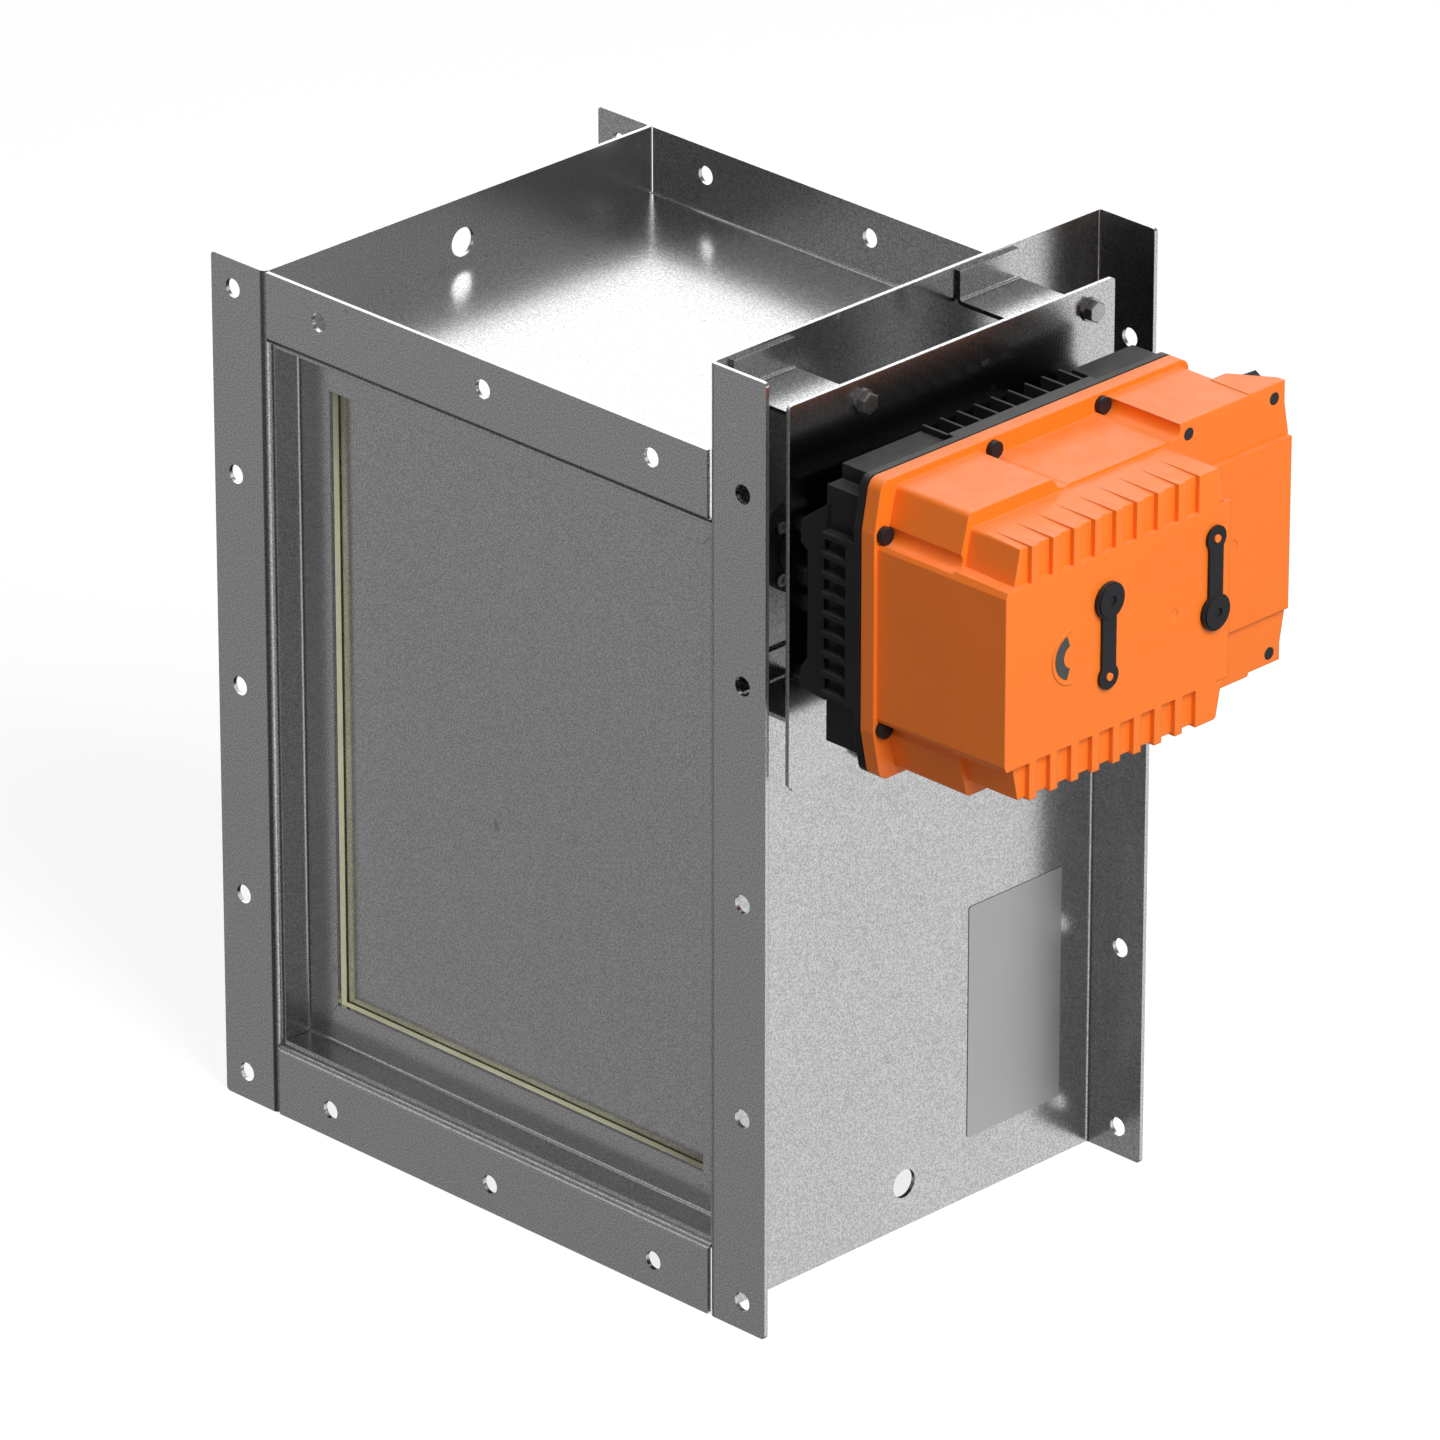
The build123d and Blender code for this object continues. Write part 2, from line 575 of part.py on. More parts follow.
bolt_seat = PLATE_FRONT + WASHER
nut_seat = PLATE_BACK - SHEET
bolt_tip = nut_seat - CAP_NUT_HEX - BOLT_IN_DOME
with BuildPart() as plate_bolts:
    extrude(hexagons(across(bolt_seat), bolt_places, NUT_FLATS, turn=30), amount=BOLT_HEAD)
    crowns = [face for face in plate_bolts.faces() if face.center().X > bolt_seat + BOLT_HEAD - 0.1]
    for crown in crowns:
        chamfer(crown.edges(), HEAD_BEVEL)
    extrude(discs(across(bolt_seat), bolt_places, BOLT_RADIUS), amount=bolt_tip - bolt_seat)
save("plate_bolts", plate_bolts)

with BuildPart() as plate_nuts:
    extrude(hexagons(across(nut_seat), bolt_places, NUT_FLATS, turn=30), amount=-CAP_NUT_HEX)
    dome_base = nut_seat - CAP_NUT_HEX
    dome_length = CAP_NUT_HEIGHT - CAP_NUT_HEX
    extrude(discs(across(dome_base), bolt_places, CAP_NUT_DOME_RADIUS), amount=-dome_length)
    dome_ends = [face for face in plate_nuts.faces() if face.center().X < dome_base - dome_length + 0.1]
    for dome_end in dome_ends:
        chamfer(dome_end.edges(), CAP_NUT_DOME_RADIUS * 0.5)
    extrude(discs(across(nut_seat), bolt_places, BOLT_RADIUS + SLIDING_FIT),
            amount=bolt_tip - nut_seat - BOLT_TIP_ROOM, mode=Mode.SUBTRACT)
save("plate_nuts", plate_nuts)

LABEL_THICKNESS = 0.5
LABEL_Y = (233.0, 319.0)
LABEL_Z = (-257.0, -91.0)
LABEL_CORNER = 2.0

with BuildPart() as label_plate:
    slab((WALL_X, WALL_X + LABEL_THICKNESS), LABEL_Y, LABEL_Z)
    fillet(label_plate.edges().filter_by(Axis.X), LABEL_CORNER)
save("label_plate", label_plate)

# Clamp that grips the shaft between the plate and the actuator

CLAMP_BACK = 261.5
CLAMP_FRONT = 270.0
CLAMP_HUB_RADIUS = 17.0
CLAMP_REACH = 47.0
CLAMP_HALF_HEIGHT = 16.0
CLAMP_SLOT = 6.0
CLAMP_SCREW_Y = 40.5
CLAMP_SCREW_RADIUS = 2.5
CLAMP_SCREW_HEAD_RADIUS = 4.0
CLAMP_SCREW_HEAD = 4.0
CLAMP_SCREW_SOCKET = 4.0
CLAMP_NUT_FLATS = 8.0
CLAMP_CORNER = 3.0
clamp_middle = (CLAMP_BACK + CLAMP_FRONT) / 2

with BuildPart() as clamp_hub:
    slab((CLAMP_BACK, CLAMP_FRONT), (SHAFT_Y - CLAMP_REACH, SHAFT_Y),
         (SHAFT_Z - CLAMP_HALF_HEIGHT, SHAFT_Z + CLAMP_HALF_HEIGHT))
    fillet(clamp_hub.edges().filter_by(Axis.X).group_by(Axis.Y)[0], CLAMP_CORNER)
    ring(CLAMP_BACK, CLAMP_FRONT, CLAMP_HUB_RADIUS, SHAFT_RADIUS)
    slab((CLAMP_BACK, CLAMP_FRONT), (0, SHAFT_Y),
         (SHAFT_Z - CLAMP_SLOT / 2, SHAFT_Z + CLAMP_SLOT / 2), mode=Mode.SUBTRACT)
    extrude(discs(across(CLAMP_BACK), [(SHAFT_Y, 0)], SHAFT_RADIUS + SLIDING_FIT),
            amount=CLAMP_FRONT - CLAMP_BACK, mode=Mode.SUBTRACT)
    with Locations((clamp_middle, CLAMP_SCREW_Y, SHAFT_Z)):
        Cylinder(CLAMP_SCREW_RADIUS + SLIDING_FIT, 3 * CLAMP_HALF_HEIGHT, mode=Mode.SUBTRACT)
save("clamp_hub", clamp_hub)

clamp_top = SHAFT_Z + CLAMP_HALF_HEIGHT
clamp_bottom = SHAFT_Z - CLAMP_HALF_HEIGHT
with BuildPart() as clamp_screw:
    screw_axis = [(clamp_middle, CLAMP_SCREW_Y)]
    nut_plane = Plane.XY.offset(clamp_bottom)
    head_top = Plane.XY.offset(clamp_top + CLAMP_SCREW_HEAD)
    extrude(discs(nut_plane, screw_axis, CLAMP_SCREW_RADIUS), amount=2 * CLAMP_HALF_HEIGHT)
    extrude(discs(head_top, screw_axis, CLAMP_SCREW_HEAD_RADIUS), amount=-CLAMP_SCREW_HEAD)
    extrude(hexagons(nut_plane, screw_axis, CLAMP_NUT_FLATS, turn=30), amount=-CLAMP_SCREW_HEAD)
    extrude(hexagons(head_top, screw_axis, CLAMP_SCREW_SOCKET),
            amount=-CLAMP_SCREW_HEAD / 2, mode=Mode.SUBTRACT)
save("clamp_screw", clamp_screw)

# Feet of the actuator

with BuildPart() as foot_spacers:
    extrude(discs(across(PLATE_FRONT), FOOT_PLACES, FOOT_SPACER_RADIUS), amount=FOOT_BACK - PLATE_FRONT)
    extrude(discs(across(PLATE_FRONT), FOOT_PLACES, FOOT_SCREW_RADIUS + SLIDING_FIT),
            amount=FOOT_BACK - PLATE_FRONT, mode=Mode.SUBTRACT)
save("foot_spacers", foot_spacers)

with BuildPart() as foot_screws:
    extrude(discs(across(PLATE_BACK), FOOT_PLACES, FOOT_SCREW_HEAD_RADIUS), amount=-FOOT_SCREW_HEAD)
    extrude(discs(across(PLATE_BACK), FOOT_PLACES, FOOT_SCREW_RADIUS), amount=FOOT_SCREW_END - PLATE_BACK)
    extrude(hexagons(across(PLATE_BACK - FOOT_SCREW_HEAD), FOOT_PLACES, SCREW_SOCKET),
            amount=FOOT_SCREW_HEAD / 2, mode=Mode.SUBTRACT)
save("foot_screws", foot_screws)

# Actuator base: a finned tray with a deep well for the gears

GASKET_BACK_X = 321.5
FLANGE_BACK = 316.0
END_BAND_BACK = 308.9  # the flange's ends are thicker beside the end fins
END_BAND_HALF = 56.3
FIN_PAD_BACK = 310.5  # its long edges are thicker over the top fins
FIN_PAD = (97.5, 223.7)
RIM_SIDE_HALF = 67.0  # the rim's ends are upright this far, then lean in
RIM_LEAN = 6.4
RIM_CORNER = 8.0
BODY_BACK = 285.5
BODY_FLOOR = 3.0
POCKET_LEFT = 23.0
POCKET_HALF_HEIGHT = 80.0
WELL_FLOOR = 276.0
WELL_WALL = 4.0
WELL = (36.0, 214.0)
WELL_HALF_HEIGHT = 68.0
HUB_RADIUS = 20.0
FIN_COUNT = 9
END_FIN_PITCH = 13.35
END_FIN = 3.6
END_FIN_FACE = 9.9
END_FIN_ROOT = 17.5
END_FIN_BACK = 288.0
TOP_FIN_FIRST = 101.5
TOP_FIN_PITCH = 15.15
TOP_FIN = 2.0
TOP_FIN_REACH = 97.7
TOP_FIN_ROOT = 88.0
CORNER_BLOCK_TOP = 84.0
CORNER_BLOCK_BOTTOM = -89.0
NEAR_STEP = (30.6, 99.6)
FAR_STEP = (234.8, 290.0)
STEP_HEIGHT = 94.0
SPINE_HALF_HEIGHT = 36.0
FOOT_FACE = 15.0
FOOT_INNER = 33.0
FOOT_ROUND = 3.0

rim_corner_points = [
    (HOUSING_LEFT, -RIM_SIDE_HALF),
    (HOUSING_LEFT, RIM_SIDE_HALF),
    (HOUSING_LEFT + RIM_LEAN, HOUSING_HALF_HEIGHT),
]
rim_points = rim_corner_points + other_end(rim_corner_points)[::-1]
rim_points += [
    (HOUSING_RIGHT - RIM_LEAN, -HOUSING_HALF_HEIGHT),
    (HOUSING_LEFT + RIM_LEAN, -HOUSING_HALF_HEIGHT),
]


def rim_outline(x, inset=0.0):
    """Outline shared by the base flange, its gasket and the cover's rim."""
    with BuildSketch(across(x)) as shape:
        with BuildLine():
            Polyline(*rim_points, close=True)
        make_face()
        corners = shape.vertices().filter_by(lambda v: abs(v.Y) > HOUSING_HALF_HEIGHT - 1)
        fillet(corners, RIM_CORNER)
        if inset:
            offset(amount=-inset)
    return shape.sketch


COVER_SCREW_RADIUS = 2.5
COVER_SCREW_CAP_RADIUS = 5.75
COVER_SCREW_CAP = 4.5
COVER_SCREW_END = 317.0
COVER_SCREW_PLACES = [
    (17.3, 65.3), (17.3, -65.3), (113.2, 93.0), (113.2, -93.0), (210.0, 93.0), (210.0, -93.0),
]
BOARD_BACK = 330.0
BOARD_POST_RADIUS = 4.0
BOARD_POSTS = [(226.0, 62.0), (226.0, -62.0), (272.0, 62.0), (272.0, -62.0)]

pocket_right = 2 * HOUSING_MIDDLE - POCKET_LEFT
pocket_floor = BODY_BACK + BODY_FLOOR
well_left, well_right = WELL
far_root = 2 * HOUSING_MIDDLE - END_FIN_ROOT
body_blocks = [
    # Y from, Y to, bottom, top
    (END_FIN_ROOT, far_root, CORNER_BLOCK_BOTTOM, CORNER_BLOCK_TOP),
    (NEAR_STEP[0], far_root, -TOP_FIN_ROOT, TOP_FIN_ROOT),
    (*NEAR_STEP, -STEP_HEIGHT, STEP_HEIGHT),
    (*FAR_STEP, -STEP_HEIGHT, STEP_HEIGHT),
]
foot_overlap = BODY_BACK + 1
upper_foot = [
    # X, height above the shaft, radius
    (foot_overlap, 71.0, 0),
    (FOOT_BACK, 55.3, FOOT_ROUND),
    (FOOT_BACK, 39.5, FOOT_ROUND),
    (HOUSING_BACK, SPINE_HALF_HEIGHT, 0),
    (foot_overlap, SPINE_HALF_HEIGHT, 0),
]
lower_foot = [
    (foot_overlap, -60.5, 0),
    (FOOT_BACK, -58.5, FOOT_ROUND / 2),
    (FOOT_BACK, -45.0, FOOT_ROUND),
    (HOUSING_BACK, -SPINE_HALF_HEIGHT, 0),
    (foot_overlap, -SPINE_HALF_HEIGHT, 0),
]

with BuildPart() as actuator_base:
    # Flange that carries the cover, with its thicker stretches
    extrude(rim_outline(FLANGE_BACK), amount=GASKET_BACK_X - FLANGE_BACK)
    extrude(span(END_BAND_BACK, HOUSING_LEFT, HOUSING_RIGHT, -END_BAND_HALF, END_BAND_HALF),
            amount=FLANGE_BACK - END_BAND_BACK)
    extrude(span(FIN_PAD_BACK, *FIN_PAD, -HOUSING_HALF_HEIGHT, HOUSING_HALF_HEIGHT),
            amount=FLANGE_BACK - FIN_PAD_BACK)
    # Body behind the flange: the core with its corner blocks, the fins' root and the two taller steps
    for y_from, y_to, low, high in body_blocks:
        extrude(span(BODY_BACK, y_from, y_to, low, high), amount=FLANGE_BACK - BODY_BACK)
    # Outside of the gear well, and the spine between the feet
    extrude(span(HOUSING_BACK, well_left - WELL_WALL, well_right + WELL_WALL,
                 -WELL_HALF_HEIGHT - WELL_WALL, WELL_HALF_HEIGHT + WELL_WALL),
            amount=BODY_BACK - HOUSING_BACK)
    extrude(span(HOUSING_BACK, FOOT_FACE, 2 * HOUSING_MIDDLE - FOOT_FACE,
                 -SPINE_HALF_HEIGHT, SPINE_HALF_HEIGHT), amount=BODY_BACK - HOUSING_BACK)
    # Thin fins on the top and bottom, thicker ones on both ends
    for i in range(FIN_COUNT):
        fin_y = TOP_FIN_FIRST + i * TOP_FIN_PITCH
        extrude(span(BODY_BACK, fin_y - TOP_FIN / 2, fin_y + TOP_FIN / 2, -TOP_FIN_REACH, TOP_FIN_REACH),
                amount=FLANGE_BACK - BODY_BACK)
        level = (i - (FIN_COUNT - 1) / 2) * END_FIN_PITCH
        extrude(span(END_FIN_BACK, END_FIN_FACE, 2 * HOUSING_MIDDLE - END_FIN_FACE,
                     level - END_FIN / 2, level + END_FIN / 2), amount=FLANGE_BACK - END_FIN_BACK)
    # Feet, drawn as seen along the duct
    for profile in (upper_foot, lower_foot):
        corners = [(x, SHAFT_Z + height, radius) for x, height, radius in profile]
        for left in (FOOT_FACE, 2 * HOUSING_MIDDLE - FOOT_INNER):
            extrude(rounded(along_duct(left), corners), amount=FOOT_FACE - FOOT_INNER)
    # Inside: the tray, the gear well, the hub's hole and the posts for the circuit board
    extrude(span(pocket_floor, POCKET_LEFT, pocket_right, -POCKET_HALF_HEIGHT, POCKET_HALF_HEIGHT),
            amount=GASKET_BACK_X - pocket_floor, mode=Mode.SUBTRACT)
    extrude(span(WELL_FLOOR, *WELL, -WELL_HALF_HEIGHT, WELL_HALF_HEIGHT),
            amount=pocket_floor - WELL_FLOOR, mode=Mode.SUBTRACT)
    extrude(discs(across(HOUSING_BACK), [(SHAFT_Y, 0)], HUB_RADIUS + RUNNING_GAP),
            amount=WELL_FLOOR - HOUSING_BACK, mode=Mode.SUBTRACT)
    extrude(discs(across(pocket_floor), BOARD_POSTS, BOARD_POST_RADIUS), amount=BOARD_BACK - pocket_floor)
    extrude(discs(across(COVER_SCREW_END), COVER_SCREW_PLACES, COVER_SCREW_RADIUS + SLIDING_FIT),
            amount=GASKET_BACK_X - COVER_SCREW_END, mode=Mode.SUBTRACT)
    extrude(discs(across(FOOT_BACK), FOOT_PLACES, FOOT_SCREW_RADIUS + SLIDING_FIT),
            amount=FOOT_SCREW_END - FOOT_BACK, mode=Mode.SUBTRACT)
save("actuator_base", actuator_base)

COVER_GASKET_INSET = 1.2

with BuildPart() as cover_gasket:
    extrude(rim_outline(GASKET_BACK_X, COVER_GASKET_INSET), amount=RIM_BACK - GASKET_BACK_X)
    extrude(span(GASKET_BACK_X, POCKET_LEFT, pocket_right, -POCKET_HALF_HEIGHT, POCKET_HALF_HEIGHT),
            amount=RIM_BACK - GASKET_BACK_X, mode=Mode.SUBTRACT)
    extrude(discs(across(GASKET_BACK_X), COVER_SCREW_PLACES, COVER_SCREW_RADIUS + SLIDING_FIT),
            amount=RIM_BACK - GASKET_BACK_X, mode=Mode.SUBTRACT)
save("cover_gasket", cover_gasket)

# Actuator cover: a moulded shell in two storeys with ribbed shoulders and a terminal nose

PLATEAU_LEFT = 15.0
PLATEAU_RIGHT = 214.5
PLATEAU_HALF_HEIGHT = 60.0
PLATEAU_CHAMFER = (2.6, 5.8)
DRAFT = 1.3  # degrees
SHOULDER_FLOOR = 87.5
SHOULDER_TOP = 95.0
SHOULDER_RIGHT_TOP = 96.5
STOREY_RIGHT = 283.0
STOREY_CORNER = 6.0
RIB_BLOCK_FOOT = 50.0
RIB_BLOCK_TOP = 85.0
RIB_BLOCK_ROUND = 2.5
RIB_BLOCK_LEFT = (25.5, 30.6)  # at the plateau and at the top
RIB_BLOCK_RIGHT = (209.0, 204.0)
RECESS_COUNT = 9
RECESS_FIRST_RIGHT = 37.0
RECESS_PITCH = 18.59
RECESS_WIDTH = 12.0
RECESS_DEPTH = 3.5
RECESS_WEDGE = 1.5
RECESS_WEDGE_LENGTH = 34.0
NOSE_BACK = 362.0
NOSE_BACK_Y = 293.0
NOSE_SLOPE = 0.673
NOSE_TOP = 97.0
NOSE_BOTTOM = -94.0
NOSE_RIGHT = 311.5
NOSE_BAND_RIGHT = 315.7
NOSE_BAND_HALF = 59.0
NOSE_BAND_FRONT = 398.0
NOSE_BREAK = 82.0
WELL_RADIUS = 6.5

INNER_BOXES = [
    # Y from, Y to, half height, front
    (17.0, 211.0, 56.5, 437.0),
    (34.0, 200.0, 80.0, 433.0),
    (32.0, 279.0, 84.0, 391.5),
]

WINDOW_INNER = 8.0
WINDOW_OUTER = 15.5
WINDOW_HALF_ANGLE = 70.0  # either side of the direction away from the terminals
WINDOW_RIM_RADIUS = 18.8
WINDOW_RIM = 1.5
WINDOW_RIM_HEIGHT = 0.6
WINDOW_RIM_HALF_ANGLE = 85.0
WINDOW_PROUD = 0.2
WINDOW_END_GAP = 0.3  # degrees
WINDOW_THICKNESS = 3.2
FACE_CUT = 6.0  # deeper than the cover's front wall
PIN_MARK_RADIUS = 3.5
PIN_MARK_DEPTH = 0.4
END_SLOT_Y = (204.5, 210.5)
END_SLOT_LEVEL = 60.6
END_SLOT = 2.0
END_SLOT_DEPTH = 0.8

PLUG_DISC_RADIUS = 12.1
PLUG_STEP_RADIUS = 10.4
PLUG_EYE_RADIUS = 8.4
PLUG_STRAP = 12.2
PLUG_PEG_RADIUS = 2.6
PLUG_PEG_HEIGHT = 3.2
PLUG_STEM_RADIUS = 7.0
PLUG_STEM_BORE = 5.0
PLUG_STEM = 8.0
LEFT_PLUG = (104.8, 28.0)
LEFT_EYE = (104.8, -23.2)
RIGHT_PLUG = (200.4, -10.5)
RIGHT_EYE = (200.4, 39.2)

FLUSH_CAP_RADIUS = 4.2
FLUSH_CAP = 3.0
FLUSH_CAP_PLACES = [(224.2, 87.2), (224.2, -87.2), (302.1, 87.0), (302.1, -87.0)]

GLAND_X = 348.0
GLAND_HEIGHT = 68.0
GLAND_THREAD_RADIUS = 8.0

shoulder_corners = [
    # Y, height above the shaft, radius
    (18.0, 0.0, 0),
    (20.0, PLATEAU_HALF_HEIGHT, STOREY_CORNER),
    (29.0, SHOULDER_TOP, 4.0),
    (102.0, SHOULDER_TOP, 4.0),
    (107.5, SHOULDER_FLOOR, 3.0),
    (202.0, SHOULDER_FLOOR, 6.0),
    (214.0, SHOULDER_RIGHT_TOP, 5.0),
    (STOREY_RIGHT, SHOULDER_RIGHT_TOP, 2.0),
    (STOREY_RIGHT, 0.0, 0),
]
rib_block_corners = [
    (RIB_BLOCK_LEFT[0] - 2, RIB_BLOCK_FOOT, 0),
    (RIB_BLOCK_LEFT[0], PLATEAU_HALF_HEIGHT, 0),
    (RIB_BLOCK_LEFT[1], RIB_BLOCK_TOP, RIB_BLOCK_ROUND),
    (RIB_BLOCK_RIGHT[1], RIB_BLOCK_TOP, RIB_BLOCK_ROUND),
    (RIB_BLOCK_RIGHT[0], PLATEAU_HALF_HEIGHT, 0),
    (RIB_BLOCK_RIGHT[0], RIB_BLOCK_FOOT, 0),
]
nose_root = STOREY_RIGHT - 4
nose_points = [
    (nose_root, NOSE_BOTTOM),
    (NOSE_RIGHT, NOSE_BOTTOM),
    (NOSE_RIGHT, -NOSE_BREAK),
    (NOSE_BAND_RIGHT, -NOSE_BAND_HALF),
    (NOSE_BAND_RIGHT, NOSE_BAND_HALF),
    (NOSE_RIGHT, NOSE_BREAK),
    (NOSE_RIGHT, NOSE_TOP),
    (nose_root, NOSE_TOP),
]
draft_spread = (COVER_FRONT - RIM_FRONT) * tan(radians(DRAFT))
plateau_low = PLATEAU_LEFT - draft_spread
plateau_high = PLATEAU_RIGHT + draft_spread
plateau_half = PLATEAU_HALF_HEIGHT + draft_spread
chamfer_y, chamfer_height = PLATEAU_CHAMFER
plateau_points = [
    (plateau_low, -plateau_half + chamfer_height),
    (plateau_low, plateau_half - chamfer_height),
    (plateau_low + chamfer_y, plateau_half),
    (plateau_high, plateau_half),
    (plateau_high, -plateau_half),
    (plateau_low + chamfer_y, -plateau_half),
]


def window_sector(x, inner, outer, half_angle):
    """Crescent about the shaft axis, on the side away from the terminals."""
    start = 180 - half_angle
    sweep = 2 * half_angle
    with BuildSketch(across(x)) as crescent:
        with BuildLine():
            outer_arc = CenterArc((SHAFT_Y, 0), outer, start, sweep)
            inner_arc = CenterArc((SHAFT_Y, 0), inner, start, sweep)
            Line(outer_arc @ 0, inner_arc @ 0)
            Line(outer_arc @ 1, inner_arc @ 1)
        make_face()
    return crescent.sketch


with BuildPart() as actuator_cover:
    extrude(rim_outline(RIM_BACK), amount=RIM_FRONT - RIM_BACK)
    # Lower storey with its two shoulders and the floor between them
    for corners in (shoulder_corners, upside_down(shoulder_corners)):
        extrude(rounded(across(RIM_FRONT), corners), amount=STOREY_FRONT - RIM_FRONT)
    # Plateau, drawn at the rim and drafted towards the front
    extrude(outline(across(RIM_FRONT), plateau_points), amount=COVER_FRONT - RIM_FRONT, taper=DRAFT)
    # Ribbed shoulders of the plateau
    for corners in (rib_block_corners, upside_down(rib_block_corners)):
        extrude(rounded(across(STOREY_FRONT), corners), amount=COVER_FRONT - STOREY_FRONT)
    # Terminal nose, overhanging the rim, and its raised middle band
    extrude(outline(across(NOSE_BACK), nose_points), amount=STOREY_FRONT - NOSE_BACK)
    extrude(span(STOREY_FRONT, PLATEAU_RIGHT, NOSE_BAND_RIGHT, -NOSE_BAND_HALF, NOSE_BAND_HALF),
            amount=NOSE_BAND_FRONT - STOREY_FRONT)
    nose_reach = NOSE_BAND_FRONT - NOSE_BACK
    under_nose = [
        (NOSE_BACK - 1, NOSE_BACK_Y - NOSE_SLOPE),
        (NOSE_BACK + nose_reach, NOSE_BACK_Y + NOSE_SLOPE * nose_reach),
        (NOSE_BACK - 1, NOSE_BACK_Y + NOSE_SLOPE * nose_reach),
    ]
    extrude(outline(Plane.XY.offset(SHAFT_Z), under_nose),
            amount=NOSE_TOP + 1, both=True, mode=Mode.SUBTRACT)
    # Recesses between the ribs, each with a thin wedge taken off the rib block's outer face
    for i in range(RECESS_COUNT):
        recess_right = RECESS_FIRST_RIGHT + i * RECESS_PITCH
        recess_left = recess_right - RECESS_WIDTH
        for side in (-1, 1):
            low, high = sorted((side * PLATEAU_HALF_HEIGHT, side * (RIB_BLOCK_TOP + 1)))
            extrude(span(COVER_FRONT - RECESS_DEPTH, recess_left, recess_right, low, high),
                    amount=RECESS_DEPTH + 1, mode=Mode.SUBTRACT)
            wedge = [
                (COVER_FRONT - RECESS_WEDGE_LENGTH, SHAFT_Z + side * RIB_BLOCK_TOP),
                (COVER_FRONT + 1, SHAFT_Z + side * (RIB_BLOCK_TOP - RECESS_WEDGE)),
                (COVER_FRONT + 1, SHAFT_Z + side * (RIB_BLOCK_TOP + 1)),
                (COVER_FRONT - RECESS_WEDGE_LENGTH, SHAFT_Z + side * (RIB_BLOCK_TOP + 1)),
            ]
            extrude(outline(along_duct(recess_left), wedge), amount=-RECESS_WIDTH, mode=Mode.SUBTRACT)
    # Hollow inside
    for left, right, half, front in INNER_BOXES:
        extrude(span(RIM_BACK, left, right, -half, half), amount=front - RIM_BACK, mode=Mode.SUBTRACT)
    # Screw holes and the wells around their caps
    extrude(discs(across(RIM_BACK), COVER_SCREW_PLACES, COVER_SCREW_RADIUS + SLIDING_FIT),
            amount=RIM_FRONT - RIM_BACK, mode=Mode.SUBTRACT)
    extrude(discs(across(RIM_FRONT), COVER_SCREW_PLACES, WELL_RADIUS),
            amount=STOREY_FRONT - RIM_FRONT + 1, mode=Mode.SUBTRACT)
    extrude(discs(across(STOREY_FRONT), FLUSH_CAP_PLACES, FLUSH_CAP_RADIUS + SLIDING_FIT),
            amount=-FLUSH_CAP, mode=Mode.SUBTRACT)
    # Position window with its raised rim, plug holes with their pegs, and the gland's hole
    window_rim = window_sector(COVER_FRONT, WINDOW_RIM_RADIUS - WINDOW_RIM, WINDOW_RIM_RADIUS,
                               WINDOW_RIM_HALF_ANGLE)
    extrude(window_rim, amount=WINDOW_RIM_HEIGHT)
    extrude(window_sector(COVER_FRONT, WINDOW_INNER, WINDOW_OUTER, WINDOW_HALF_ANGLE),
            amount=-FACE_CUT, mode=Mode.SUBTRACT)
    extrude(discs(across(COVER_FRONT), [LEFT_PLUG, RIGHT_PLUG], PLUG_STEM_RADIUS + RUNNING_GAP),
            amount=-FACE_CUT, mode=Mode.SUBTRACT)
    extrude(discs(across(COVER_FRONT), [LEFT_EYE, RIGHT_EYE], PLUG_PEG_RADIUS), amount=PLUG_PEG_HEIGHT)
    gland_hole = discs(along_duct(STOREY_RIGHT), [(GLAND_X, SHAFT_Z + GLAND_HEIGHT)],
                       GLAND_THREAD_RADIUS + SLIDING_FIT)
    extrude(gland_hole, amount=FACE_CUT, mode=Mode.SUBTRACT)
    # Faint round marks that the mould's ejector pins leave, and two short slots beside the last ribs
    for front, place in ((COVER_FRONT, (164.8, -1.6)), (NOSE_BAND_FRONT, (264.0, 0.0))):
        extrude(discs(across(front), [place], PIN_MARK_RADIUS), amount=-PIN_MARK_DEPTH, mode=Mode.SUBTRACT)
    for level in (-END_SLOT_LEVEL, END_SLOT_LEVEL):
        extrude(span(COVER_FRONT, *END_SLOT_Y, level - END_SLOT / 2, level + END_SLOT / 2),
                amount=-END_SLOT_DEPTH, mode=Mode.SUBTRACT)
save("actuator_cover", actuator_cover)

with BuildPart() as cover_screws:
    extrude(discs(across(RIM_FRONT), COVER_SCREW_PLACES, COVER_SCREW_CAP_RADIUS), amount=COVER_SCREW_CAP)
    cap_front = RIM_FRONT + COVER_SCREW_CAP
    cap_faces = [face for face in cover_screws.faces() if face.center().X > cap_front - 0.1]
    for cap_face in cap_faces:
        chamfer(cap_face.edges(), HEAD_BEVEL)
    extrude(discs(across(RIM_FRONT), COVER_SCREW_PLACES, COVER_SCREW_RADIUS),
            amount=COVER_SCREW_END - RIM_FRONT)
save("cover_screws", cover_screws)

with BuildPart() as terminal_screws:
    extrude(discs(across(STOREY_FRONT), FLUSH_CAP_PLACES, FLUSH_CAP_RADIUS), amount=-FLUSH_CAP)
save("terminal_screws", terminal_screws)

with BuildPart() as indicator_window:
    fitted_window = window_sector(COVER_FRONT + WINDOW_PROUD, WINDOW_INNER + SLIDING_FIT,
                                  WINDOW_OUTER - SLIDING_FIT, WINDOW_HALF_ANGLE - WINDOW_END_GAP)
    extrude(fitted_window, amount=-WINDOW_THICKNESS)
save("indicator_window", indicator_window)

